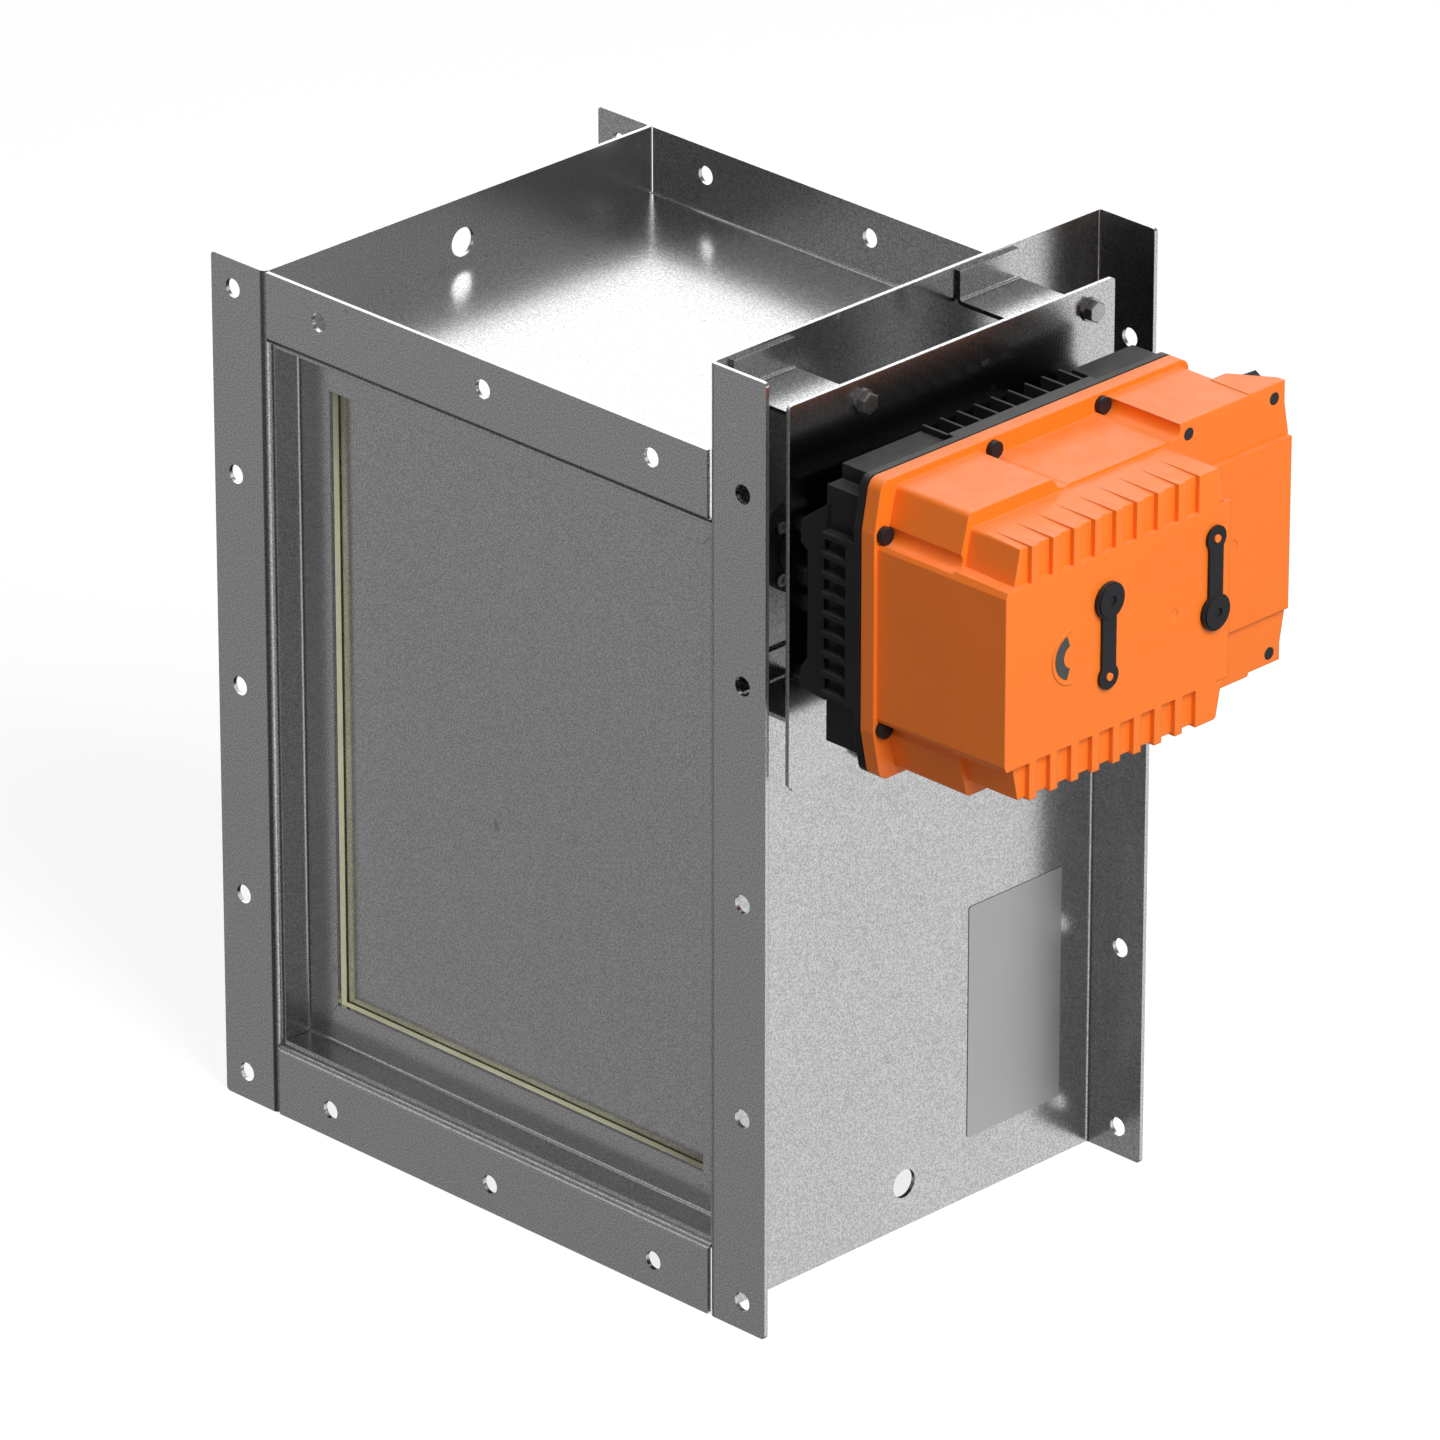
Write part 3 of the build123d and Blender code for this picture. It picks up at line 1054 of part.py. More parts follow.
GLAND_FLATS = 24.0
GLAND_THREAD = 8.0
GLAND_BODY = 10.0
GLAND_NECK = 6.0
GLAND_NECK_RADIUS = 10.5
GLAND_NUT = 37.0
GLAND_BORE_RADIUS = 5.0
gland_centre = [(GLAND_X, SHAFT_Z + GLAND_HEIGHT)]
gland_neck_start = STOREY_RIGHT + GLAND_BODY
gland_nut_start = gland_neck_start + GLAND_NECK
gland_length = GLAND_THREAD + GLAND_BODY + GLAND_NECK + GLAND_NUT

with BuildPart() as cable_gland:
    extrude(discs(along_duct(STOREY_RIGHT), gland_centre, GLAND_THREAD_RADIUS), amount=GLAND_THREAD)
    extrude(hexagons(along_duct(STOREY_RIGHT), gland_centre, GLAND_FLATS, turn=30), amount=-GLAND_BODY)
    extrude(discs(along_duct(gland_neck_start), gland_centre, GLAND_NECK_RADIUS), amount=-GLAND_NECK)
    extrude(hexagons(along_duct(gland_nut_start), gland_centre, GLAND_FLATS, turn=30), amount=-GLAND_NUT)
    extrude(discs(along_duct(STOREY_RIGHT - GLAND_THREAD), gland_centre, GLAND_BORE_RADIUS),
            amount=-gland_length, mode=Mode.SUBTRACT)
save("cable_gland", cable_gland)

# Rubber plugs, each tethered by a strap to a peg on the cover

PLUG_LIFT = 0.4
PLUG_STRAP_THICKNESS = 1.8
PLUG_DISC_THICKNESS = 2.6
PLUG_STEP = 1.2
PLUG_DIMPLE_RADIUS = 3.5


def rubber_plug(disc, eye):
    """Stepped disc with a hollow stem, a flat strap and an eye round the peg."""
    back = COVER_FRONT + PLUG_LIFT
    low, high = sorted((disc[1], eye[1]))
    strap_left = disc[0] - PLUG_STRAP / 2
    strap_right = disc[0] + PLUG_STRAP / 2
    with BuildPart() as plug:
        extrude(span(back, strap_left, strap_right, low, high), amount=PLUG_STRAP_THICKNESS)
        extrude(discs(across(back), [eye], PLUG_EYE_RADIUS), amount=PLUG_STRAP_THICKNESS)
        extrude(discs(across(back), [disc], PLUG_DISC_RADIUS), amount=PLUG_DISC_THICKNESS)
        extrude(discs(across(back + PLUG_DISC_THICKNESS), [disc], PLUG_STEP_RADIUS), amount=PLUG_STEP)
        extrude(discs(across(back + PLUG_DISC_THICKNESS + PLUG_STEP), [disc], PLUG_DIMPLE_RADIUS),
                amount=-PLUG_STEP, mode=Mode.SUBTRACT)
        extrude(discs(across(back), [disc], PLUG_STEM_RADIUS), amount=-PLUG_STEM)
        extrude(discs(across(back - PLUG_STEM), [disc], PLUG_STEM_BORE),
                amount=PLUG_STEM - PLUG_STEP, mode=Mode.SUBTRACT)
        extrude(discs(across(back), [eye], PLUG_PEG_RADIUS + PLUG_LIFT),
                amount=PLUG_STRAP_THICKNESS, mode=Mode.SUBTRACT)
    return plug


save("plug_left", rubber_plug(LEFT_PLUG, LEFT_EYE))
save("plug_right", rubber_plug(RIGHT_PLUG, RIGHT_EYE))

# Gear train

MODULE = 1.5
OUTPUT_TEETH = 60
WHEEL_TEETH = 48
PINION_TEETH = 12
OUTPUT_GEAR = (300.0, 310.0)
PINION_X = (298.0, 312.0)
WHEEL_X = (316.0, 324.0)
HUB_BACK = 272.0
HUB_FRONT = 313.0
PIN_RADIUS = 3.0
IDLER_HUB_RADIUS = 6.0
CARRIER = (328.0, 331.0)
MOTOR_FRONT = 392.0
MOTOR_RADIUS = 22.0
MOTOR_BEVEL = 2.0
MOTOR_CAP_RADIUS = 8.0
MOTOR_CAP = 4.0
MOTOR_SHAFT_RADIUS = 2.5
MOTOR_SHAFT_IN = 20.0  # length of the pinion's shaft inside the motor
CRANK_RADIUS = 4.0
CRANK_TIP = 430.0
CRANK_TAIL = 312.5
CRANK_HEX = 12.0
CRANK_HEX_FLATS = 6.8
TOOTH_RISE = 0.8  # tooth height above and below the pitch circle, in modules
TOOTH_FALL = 1.3
TOOTH_TIP_HALF = 0.28  # half widths of a tooth, in modules
TOOTH_ROOT_HALF = 0.72

first_distance = (OUTPUT_TEETH + PINION_TEETH) / 2 * MODULE
second_distance = (WHEEL_TEETH + PINION_TEETH) / 2 * MODULE
IDLER_RISE = -10.95
idler = (SHAFT_Y + (first_distance ** 2 - IDLER_RISE ** 2) ** 0.5, IDLER_RISE)
motor_axis = (idler[0] + second_distance, idler[1])
crank_axis = LEFT_PLUG


def tooth_points(teeth, phase):
    """Outline of a gear with straight-flanked teeth; one tooth points at the phase angle."""
    root = (teeth / 2 - TOOTH_FALL) * MODULE
    tip = (teeth / 2 + TOOTH_RISE) * MODULE
    tooth = [
        (root, -TOOTH_ROOT_HALF),
        (tip, -TOOTH_TIP_HALF),
        (tip, TOOTH_TIP_HALF),
        (root, TOOTH_ROOT_HALF),
    ]
    points = []
    for i in range(teeth):
        middle = radians(phase) + 2 * pi * i / teeth
        for radius, half in tooth:
            angle = middle + half * MODULE / radius
            points.append((radius * cos(angle), radius * sin(angle)))
    return points


def gear(x, centre, teeth, phase):
    """Toothed disc between two X positions, added to the part being built."""
    points = [(centre[0] + y, centre[1] + z) for y, z in tooth_points(teeth, phase)]
    extrude(outline(across(x[0]), points), amount=x[1] - x[0])


def meshing_phase(centre, teeth, phase, other_centre, other_teeth):
    """Phase that puts a gap of the other gear where this gear's tooth meets it."""
    direction = degrees(atan2(other_centre[1] - centre[1], other_centre[0] - centre[0]))
    step = 360 / teeth
    tooth_offset = (phase - direction + step / 2) % step - step / 2
    return direction + 180 - tooth_offset * teeth / other_teeth + 180 / other_teeth


shaft_axis = (SHAFT_Y, 0.0)
idler_phase = meshing_phase(shaft_axis, OUTPUT_TEETH, 0, idler, PINION_TEETH)
motor_phase = meshing_phase(idler, WHEEL_TEETH, 0, motor_axis, PINION_TEETH)
crank_phase = meshing_phase(idler, WHEEL_TEETH, 0, crank_axis, PINION_TEETH)

with BuildPart() as output_gear:
    gear(OUTPUT_GEAR, shaft_axis, OUTPUT_TEETH, 0)
    ring(HUB_BACK, HUB_FRONT, HUB_RADIUS, SHAFT_RADIUS)
    extrude(discs(across(HUB_BACK), [shaft_axis], SHAFT_RADIUS + SLIDING_FIT),
            amount=HUB_FRONT - HUB_BACK, mode=Mode.SUBTRACT)
save("output_gear", output_gear)

with BuildPart() as idler_gear:
    gear(PINION_X, idler, PINION_TEETH, idler_phase)
    gear(WHEEL_X, idler, WHEEL_TEETH, 0)
    extrude(discs(across(PINION_X[0]), [idler], IDLER_HUB_RADIUS), amount=WHEEL_X[0] - PINION_X[0])
    extrude(discs(across(PINION_X[0]), [idler], PIN_RADIUS + SLIDING_FIT),
            amount=WHEEL_X[1] - PINION_X[0], mode=Mode.SUBTRACT)
save("idler_gear", idler_gear)

with BuildPart() as idler_pin:
    extrude(discs(across(WELL_FLOOR), [idler], PIN_RADIUS), amount=CARRIER[0] - WELL_FLOOR)
    extrude(discs(across(WELL_FLOOR), [idler], IDLER_HUB_RADIUS),
            amount=PINION_X[0] - RUNNING_GAP - WELL_FLOOR)
save("idler_pin", idler_pin)

CARRIER_LEFT = 56.0
CARRIER_RIGHT = 208.0
CARRIER_HALF = 68.0
CARRIER_CORNER = 6.0
CARRIER_POST_RADIUS = 4.0
CARRIER_POSTS = [(64.0, 60.0), (64.0, -60.0), (200.0, 60.0), (200.0, -60.0)]

with BuildPart() as gear_carrier:
    extrude(span(CARRIER[0], CARRIER_LEFT, CARRIER_RIGHT, -CARRIER_HALF, CARRIER_HALF),
            amount=CARRIER[1] - CARRIER[0])
    fillet(gear_carrier.edges().filter_by(Axis.X), CARRIER_CORNER)
    extrude(discs(across(WELL_FLOOR), CARRIER_POSTS, CARRIER_POST_RADIUS), amount=CARRIER[0] - WELL_FLOOR)
    extrude(discs(across(CARRIER[0]), [shaft_axis], INDICATOR_STEM_RADIUS + RUNNING_GAP),
            amount=SHEET, mode=Mode.SUBTRACT)
    extrude(discs(across(CARRIER[0]), [crank_axis], CRANK_RADIUS + SLIDING_FIT),
            amount=SHEET, mode=Mode.SUBTRACT)
    extrude(discs(across(CARRIER[0]), [motor_axis], MOTOR_SHAFT_RADIUS + SLIDING_FIT),
            amount=SHEET, mode=Mode.SUBTRACT)
save("gear_carrier", gear_carrier)

with BuildPart() as motor:
    extrude(discs(across(CARRIER[1]), [motor_axis], MOTOR_RADIUS), amount=MOTOR_FRONT - CARRIER[1])
    chamfer(motor.edges().group_by(Axis.X)[-1], MOTOR_BEVEL)
    extrude(discs(across(MOTOR_FRONT), [motor_axis], MOTOR_CAP_RADIUS), amount=MOTOR_CAP)
    extrude(discs(across(CARRIER[1]), [motor_axis], MOTOR_SHAFT_RADIUS + SLIDING_FIT),
            amount=MOTOR_SHAFT_IN + RUNNING_GAP, mode=Mode.SUBTRACT)
save("motor", motor)

with BuildPart() as motor_pinion:
    gear(WHEEL_X, motor_axis, PINION_TEETH, motor_phase)
    extrude(discs(across(WHEEL_X[1]), [motor_axis], MOTOR_SHAFT_RADIUS),
            amount=CARRIER[1] + MOTOR_SHAFT_IN - WHEEL_X[1])
save("motor_pinion", motor_pinion)

with BuildPart() as crank_spindle:
    gear(WHEEL_X, crank_axis, PINION_TEETH, crank_phase)
    crank_hex_start = CRANK_TIP - CRANK_HEX
    extrude(discs(across(CRANK_TAIL), [crank_axis], CRANK_RADIUS), amount=crank_hex_start - CRANK_TAIL)
    extrude(hexagons(across(crank_hex_start), [crank_axis], CRANK_HEX_FLATS), amount=CRANK_HEX)
save("crank_spindle", crank_spindle)

with BuildPart() as indicator_disc:
    ring(SHAFT_RIGHT_END, INDICATOR_BACK, INDICATOR_STEM_RADIUS, INDICATOR_BORE)
    ring(INDICATOR_BACK, INDICATOR_FRONT, WINDOW_OUTER + INDICATOR_MARGIN, INDICATOR_BORE)
save("indicator_disc", indicator_disc)

# Electrical side

BOARD = 1.6
BOARD_Y = (219.0, 277.0)
BOARD_HALF_HEIGHT = 68.0
BOARD_CORNER = 2.0
CAPACITOR_PLACES = [(232.0, 40.0), (232.0, 26.0), (262.0, 44.0)]
CAPACITOR_RADIUS = 5.0
CAPACITOR_HEIGHT = 12.0
RELAY_Y = (242.0, 272.0)
RELAY_LEVELS = (12.0, 28.0)
RELAY_HEIGHT = 15.0
board_front = BOARD_BACK + BOARD

with BuildPart() as circuit_board:
    extrude(span(BOARD_BACK, *BOARD_Y, -BOARD_HALF_HEIGHT, BOARD_HALF_HEIGHT), amount=BOARD)
    fillet(circuit_board.edges().filter_by(Axis.X), BOARD_CORNER)
    extrude(discs(across(board_front), CAPACITOR_PLACES, CAPACITOR_RADIUS), amount=CAPACITOR_HEIGHT)
    extrude(span(board_front, *RELAY_Y, *RELAY_LEVELS), amount=RELAY_HEIGHT)
save("circuit_board", circuit_board)

TERMINAL_COUNT = 6
TERMINAL_PITCH = 8.0
TERMINAL_FIRST = -52.0
TERMINAL_Y = (234.0, 256.0)
TERMINAL_HEIGHT = 14.0
TERMINAL_SCREW_Y = 240.0
TERMINAL_SCREW_RADIUS = 2.6
TERMINAL_SCREW_DEPTH = 5.0
WIRE_MOUTH = 5.0
WIRE_MOUTH_DEPTH = 6.0
WIRE_MOUTH_X = (337.0, 343.0)

with BuildPart() as terminal_block:
    block_end = TERMINAL_FIRST + TERMINAL_COUNT * TERMINAL_PITCH
    extrude(span(board_front, *TERMINAL_Y, TERMINAL_FIRST, block_end), amount=TERMINAL_HEIGHT)
    terminal_levels = [TERMINAL_FIRST + (i + 0.5) * TERMINAL_PITCH for i in range(TERMINAL_COUNT)]
    screw_holes = [(TERMINAL_SCREW_Y, level) for level in terminal_levels]
    extrude(discs(across(board_front + TERMINAL_HEIGHT), screw_holes, TERMINAL_SCREW_RADIUS),
            amount=-TERMINAL_SCREW_DEPTH, mode=Mode.SUBTRACT)
    for level in terminal_levels:
        mouth = (SHAFT_Z + level - WIRE_MOUTH / 2, SHAFT_Z + level + WIRE_MOUTH / 2)
        slab(WIRE_MOUTH_X, (TERMINAL_Y[1] - WIRE_MOUTH_DEPTH, TERMINAL_Y[1]), mouth, mode=Mode.SUBTRACT)
save("terminal_block", terminal_block)
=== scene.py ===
import math

import bmesh
import bpy
import numpy as np
from bpy.props import FloatProperty, FloatVectorProperty, IntProperty, PointerProperty
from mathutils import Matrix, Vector


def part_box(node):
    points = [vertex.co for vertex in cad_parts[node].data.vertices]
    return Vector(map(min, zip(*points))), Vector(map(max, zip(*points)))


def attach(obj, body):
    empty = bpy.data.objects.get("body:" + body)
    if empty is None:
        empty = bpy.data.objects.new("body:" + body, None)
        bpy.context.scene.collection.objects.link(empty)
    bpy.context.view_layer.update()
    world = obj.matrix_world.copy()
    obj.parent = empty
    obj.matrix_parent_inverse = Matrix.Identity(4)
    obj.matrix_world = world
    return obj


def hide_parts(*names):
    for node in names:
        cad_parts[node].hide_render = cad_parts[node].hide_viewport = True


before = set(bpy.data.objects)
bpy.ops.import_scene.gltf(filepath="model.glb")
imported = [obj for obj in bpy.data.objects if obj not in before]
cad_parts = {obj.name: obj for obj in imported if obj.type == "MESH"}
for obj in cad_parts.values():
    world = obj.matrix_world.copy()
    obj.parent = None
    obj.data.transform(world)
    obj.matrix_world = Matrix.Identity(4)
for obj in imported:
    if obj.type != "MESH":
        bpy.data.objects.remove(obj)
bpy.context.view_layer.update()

bl_info = {
    "name": "Isolation damper finish",
    "version": (1, 0, 0),
    "blender": (4, 5, 0),
    "location": "View3D > Sidebar > Damper",
    "description": "Seals, threads, welds, finishes and a plain studio for a motorised isolation damper",
    "category": "Object",
}

# Axes of the part: X to the right of the mouth, Y from the mouth to the back, Z up
X, Y, Z = range(3)

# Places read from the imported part. Every length in this file is in metres.
CASING_LOW, CASING_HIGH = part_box("side_panel_left")
DUCT_MIDDLE = (CASING_LOW.y + CASING_HIGH.y) / 2
SOLE = CASING_LOW.z

# Foam strips. The section's power is near 0 for a rectangle and 1 for an ellipse. The rest are shares: of
# the section, left at the very end, of the thickness, in which the end rounds off, and of the half width,
# which the raised line covers.
FOAM_POWER = 0.10
FOAM_END = 0.8
FOAM_ROUNDING = 1 / 3
LIP_REACH = 0.45

# Studs of the flap's arms, with their hexagon nuts. The thread's depth is a share of its pitch, and it runs
# out over that part of a turn.
NUT_FLATS = 0.013
NUT_HALF_SIDE = math.radians(30)
STUD_CREST = 0.0043
STUD_LENGTH = 0.0026
THREAD_DEPTH = 0.54
THREAD_RUNOUT = 2 / 3

# Welds of the flap's stiffeners
WELD_LENGTH = 0.022
WELD_MARGIN = 0.03
WELDS_ON_EDGE = 5

# Form of a weld bead, in shares of its width
SCALE_STEP = 0.55
BEAD_TAPER = 0.6
BEAD_SWAY = 0.04
# Form of a weld bead, in shares of its half width
BEAD_SWELL = 0.20
BEAD_HEIGHT = 0.55
BEAD_LAST_RING = 0.01

# Points of a new mesh that are nearer than this are one point
SAME_POINT = 1e-7

# Rounding that the light sees on the edges of each kind of piece
SHEET_EDGE = 0.0004
FASTENER_EDGE = 0.0005
MACHINED_EDGE = 0.0004
CASTING_EDGE = 0.0009
COVER_EDGE = 0.0012
HOUSING_EDGE = 0.0008
RUBBER_EDGE = 0.0005
SMALL_PLASTIC_EDGE = 0.0004

# Height of each finish's own grain
SHEET_GRAIN = 0.000002
FASTENER_GRAIN = 0.00002
TOOL_MARKS = 0.00001
CASTING_GRAIN = 0.00015
COVER_GRAIN = 0.00003
BLACK_GRAIN = 0.00004
FOAM_PORES = 0.0001

# A noise value seldom leaves this span
NOISE_LOW = 0.3
NOISE_HIGH = 0.7
NOISE_MIDDLE = (NOISE_LOW + NOISE_HIGH) / 2

# Stretch of the tool marks: rings round X on turned metal, and lines along X on drawn metal
TURNED = (1.0, 0.03, 0.03)
DRAWN = (0.05, 1.0, 1.0)

# How much rougher a smudge leaves the sheet
SMUDGE_ROUGHENING = 0.12

# Colours that belong to one finish and are seldom changed
WHITE = (1.0, 1.0, 1.0)
FOIL_DARK = (0.49, 0.49, 0.495)
FOIL_LIGHT = (0.56, 0.56, 0.565)
BOLT_DARK = (0.40, 0.395, 0.39)
BOLT_LIGHT = (0.58, 0.57, 0.56)
BOLT_WORN = (0.74, 0.73, 0.72)
CASTING_DARK = (0.07, 0.07, 0.075)
CASTING_LIGHT = (0.13, 0.13, 0.135)
CASTING_WORN = (0.26, 0.26, 0.27)
COVER_WORN = (1.0, 0.42, 0.16)
# Paler colour that the cover's faces which look up go towards: thin dust and painted light from above
COVER_DUST_AND_TOP_LIGHT = (0.82, 0.72, 0.62)
BLACK_DUST = (0.20, 0.19, 0.18)
WINDOW_DARK = (0.010, 0.010, 0.011)
WINDOW_LIGHT = (0.018, 0.018, 0.020)
BOARD_DARK = (0.010, 0.085, 0.030)
BOARD_LIGHT = (0.014, 0.115, 0.040)
BOARD_TRACK = (0.030, 0.200, 0.070)
FLOOR_DARK = (0.36, 0.36, 0.36)
FLOOR_LIGHT = (0.38, 0.38, 0.38)
FLOOR_SHOWN = (0.4, 0.4, 0.4)

# Floor: a round sheet whose rings of points crowd towards the part
FLOOR_RINGS = 24
FLOOR_SIDES = 64
FLOOR_RADIUS = 9.0
FLOOR_INNER_RING = 0.02
FLOOR_CROWDING = 1.5
FLOOR_DROP = 0.0005

# Picture angle: the camera looks down from the right of the mouth
CAMERA_AZIMUTH = math.radians(45)
CAMERA_ELEVATION = math.radians(25)
CAMERA_DISTANCE = 7.7248
CAMERA_AIM = Vector((0.0353, DUCT_MIDDLE, 0.0053))
CAMERA_LENS = 300.0
SENSOR_WIDTH = 36.0

# Key lamp: to the right of the mouth, a little in front of the right wall
LAMP_AZIMUTH = math.radians(80)
LAMP_ELEVATION = math.radians(42)
LAMP_DISTANCE = 3.0
LAMP_SIZE = 1.8

# Soft walls that the metal reflects. Each has the azimuth and the elevation of its middle, and how far from
# there it begins to fade and ends, all in degrees. Azimuth 0 is in front of the mouth and 90 on the right.
SOFT_WALLS = {
    "floor_glow": (-45, -25, 8, 15),
    "front_glow": (45, -25, 6, 14),
    "left_strip": (-41, 9, 6, 16),
    "left_glow": (-95, -22, 8, 30),
    "side_wall": (112, -24, 26, 60),
    "back_wall": (-135, 35, 22, 50),
    "ceiling": (-60, 66, 12, 34),
}
# The room's own walls stand all round: dark below the first elevation, and full above the second
ROOM_FOOT = (-25, -13)


# Settings that a user may change

class DamperColours(bpy.types.PropertyGroup):
    """Colours of the finishes."""

    zinc: FloatVectorProperty(
        name="Zinc", description="Light grains of the galvanised sheet", subtype="COLOR", size=3,
        min=0.0, max=1.0, default=(0.75, 0.75, 0.755))
    zinc_shade: FloatVectorProperty(
        name="Zinc shade", description="Dark grains of the galvanised sheet", subtype="COLOR", size=3,
        min=0.0, max=1.0, default=(0.45, 0.45, 0.455))
    cover: FloatVectorProperty(
        name="Cover", description="Orange plastic of the actuator cover", subtype="COLOR", size=3,
        min=0.0, max=1.0, default=(0.95, 0.200, 0.015))
    housing: FloatVectorProperty(
        name="Housing", description="Black plastic of the actuator base", subtype="COLOR", size=3,
        min=0.0, max=1.0, default=(0.016, 0.016, 0.017))
    rubber: FloatVectorProperty(
        name="Rubber", description="Black rubber of the plugs and the cover gasket", subtype="COLOR", size=3,
        min=0.0, max=1.0, default=(0.014, 0.014, 0.016))
    seal: FloatVectorProperty(
        name="Seal", description="Cream foam of the seat seal", subtype="COLOR", size=3,
        min=0.0, max=1.0, default=(0.98, 0.93, 0.65))


class DamperSizes(bpy.types.PropertyGroup):
    """Sizes of the pieces made here."""

    seal_lip: FloatProperty(
        name="Seal lip", description="Height of the raised line along the middle of each seal strip",
        subtype="DISTANCE", unit="LENGTH", min=0.0, max=0.002, default=0.0006)
    thread_pitch: FloatProperty(
        name="Thread pitch", description="Distance from crest to crest on the studs",
        subtype="DISTANCE", unit="LENGTH", min=0.0005, max=0.002, default=0.001)
    weld_width: FloatProperty(
        name="Weld width", description="Width of the weld beads on the back of the flap",
        subtype="DISTANCE", unit="LENGTH", min=0.001, max=0.006, default=0.003)
    smoothness: IntProperty(
        name="Smoothness", description="Subdivision steps on the soft pieces", min=0, max=3, default=1)


class DamperStudio(bpy.types.PropertyGroup):
    """Light of the studio."""

    key_power: FloatProperty(
        name="Key lamp", description="Power of the large soft lamp on the right", unit="POWER",
        min=0.0, default=82.0)
    room_light: FloatProperty(
        name="Room light", description="Even light from all sides on plastic, rubber and foam",
        min=0.0, max=2.0, default=0.26)
    dim_floor: FloatProperty(
        name="Dim floor", description="Level that metal reflects steeply below the part",
        min=0.0, max=2.0, default=0.03)
    room_wall: FloatProperty(
        name="Room wall", description="Level that metal reflects between the soft walls, above the floor",
        min=0.0, max=2.0, default=0.17)
    floor_glow: FloatProperty(
        name="Floor glow", description="Level that metal reflects low on the left in front",
        min=0.0, max=4.0, default=0.28)
    front_glow: FloatProperty(
        name="Front glow", description="Level that metal reflects low on the right in front",
        min=0.0, max=4.0, default=0.15)
    left_strip: FloatProperty(
        name="Left strip", description="Level that bends reflect level with the part on the left in front",
        min=0.0, max=4.0, default=0.50)
    left_glow: FloatProperty(
        name="Left glow", description="Level that metal reflects low on the left",
        min=0.0, max=4.0, default=0.25)
    side_wall: FloatProperty(
        name="Side wall", description="Level that metal reflects on the right behind the part",
        min=0.0, max=4.0, default=0.83)
    back_wall: FloatProperty(
        name="Back wall", description="Level that metal reflects on the left behind the part",
        min=0.0, max=4.0, default=1.60)
    ceiling: FloatProperty(
        name="Ceiling", description="Level that metal reflects above the mouth",
        min=0.0, max=4.0, default=0.20)


# Shader nodes

def put(tree, kind, inputs=None, **settings):
    """Adds a node, sets its attributes, and fills its inputs with a value or a link from an output."""
    node = tree.nodes.new(kind)
    for name, value in settings.items():
        setattr(node, name, value)
    for name, value in (inputs or {}).items():
        fill(tree, node.inputs[name], value)
    return node


def fill(tree, socket, value):
    """Links another node's output to the socket, or sets the value on it."""
    if isinstance(value, bpy.types.NodeSocket):
        tree.links.new(value, socket)
    else:
        socket.default_value = value


def mixed(tree, share, first, second):
    """Colour that goes from first to second with share. The sockets 6, 7 and 2 are those for colours."""
    return put(tree, "ShaderNodeMix", {0: share, 6: first, 7: second}, data_type="RGBA").outputs[2]


def tinted(tree, colour, tint, mask, most):
    """Colour that goes towards a tint where the mask is, by the share most where the mask is full."""
    return mixed(tree, maths(tree, "MULTIPLY", mask, most), colour, tint)


def ranged(tree, value, low, high, to_low=0.0, to_high=1.0, curve="LINEAR"):
    """Value mapped from low..high to to_low..to_high and clamped, in a straight line or another curve."""
    inputs = {"Value": value, "From Min": low, "From Max": high, "To Min": to_low, "To Max": to_high}
    return put(tree, "ShaderNodeMapRange", inputs, interpolation_type=curve).outputs["Result"]


def spread(tree, value, lowest=0.0, highest=1.0):
    """Noise value stretched so that it runs from lowest to highest."""
    return ranged(tree, value, NOISE_LOW, NOISE_HIGH, lowest, highest)


def maths(tree, operation, first, second=0.0):
    """Result of one arithmetic step."""
    return put(tree, "ShaderNodeMath", {0: first, 1: second}, operation=operation).outputs[0]


def weighted(tree, first, second, share):
    """Sum of two values, with that share of the first and the rest of the second."""
    part = maths(tree, "MULTIPLY", first, share)
    return maths(tree, "ADD", part, maths(tree, "MULTIPLY", second, 1 - share))


def alignment(tree, first, second):
    """Cosine of the angle between two unit vectors."""
    return put(tree, "ShaderNodeVectorMath", {0: first, 1: second}, operation="DOT_PRODUCT").outputs["Value"]


def noise(tree, where, scale, detail=2.0, roughness=0.5):
    """Noise value at the point where. The scale is how many swells of it lie along a metre."""
    inputs = {"Vector": where, "Scale": scale, "Detail": detail, "Roughness": roughness}
    return put(tree, "ShaderNodeTexNoise", inputs).outputs[0]


def object_point(tree, **change):
    """Point on the piece in its own coordinates, changed by a Rotation or a Scale where one is given."""
    point = put(tree, "ShaderNodeTexCoord").outputs["Object"]
    if change:
        point = put(tree, "ShaderNodeMapping", {"Vector": point, **change}).outputs[0]
    return point


def new_group(name, inputs, outputs):
    """Empty shader group with named number or colour sockets, and its two end nodes."""
    group = bpy.data.node_groups.new(name, "ShaderNodeTree")
    for socket, value in inputs.items():
        kind = "NodeSocketColor" if isinstance(value, tuple) else "NodeSocketFloat"
        made = group.interface.new_socket(socket, in_out="INPUT", socket_type=kind)
        made.default_value = value
    for socket, kind in outputs.items():
        group.interface.new_socket(socket, in_out="OUTPUT", socket_type="NodeSocket" + kind)
    return group, put(group, "NodeGroupInput").outputs, put(group, "NodeGroupOutput").inputs


def use_group(tree, name, **inputs):
    """Places a shared group in a material, with its own values."""
    node = tree.nodes.new("ShaderNodeGroup")
    node.node_tree = bpy.data.node_groups[name]
    for key, value in inputs.items():
        fill(tree, node.inputs[key.replace("_", " ")], value)
    return node.outputs


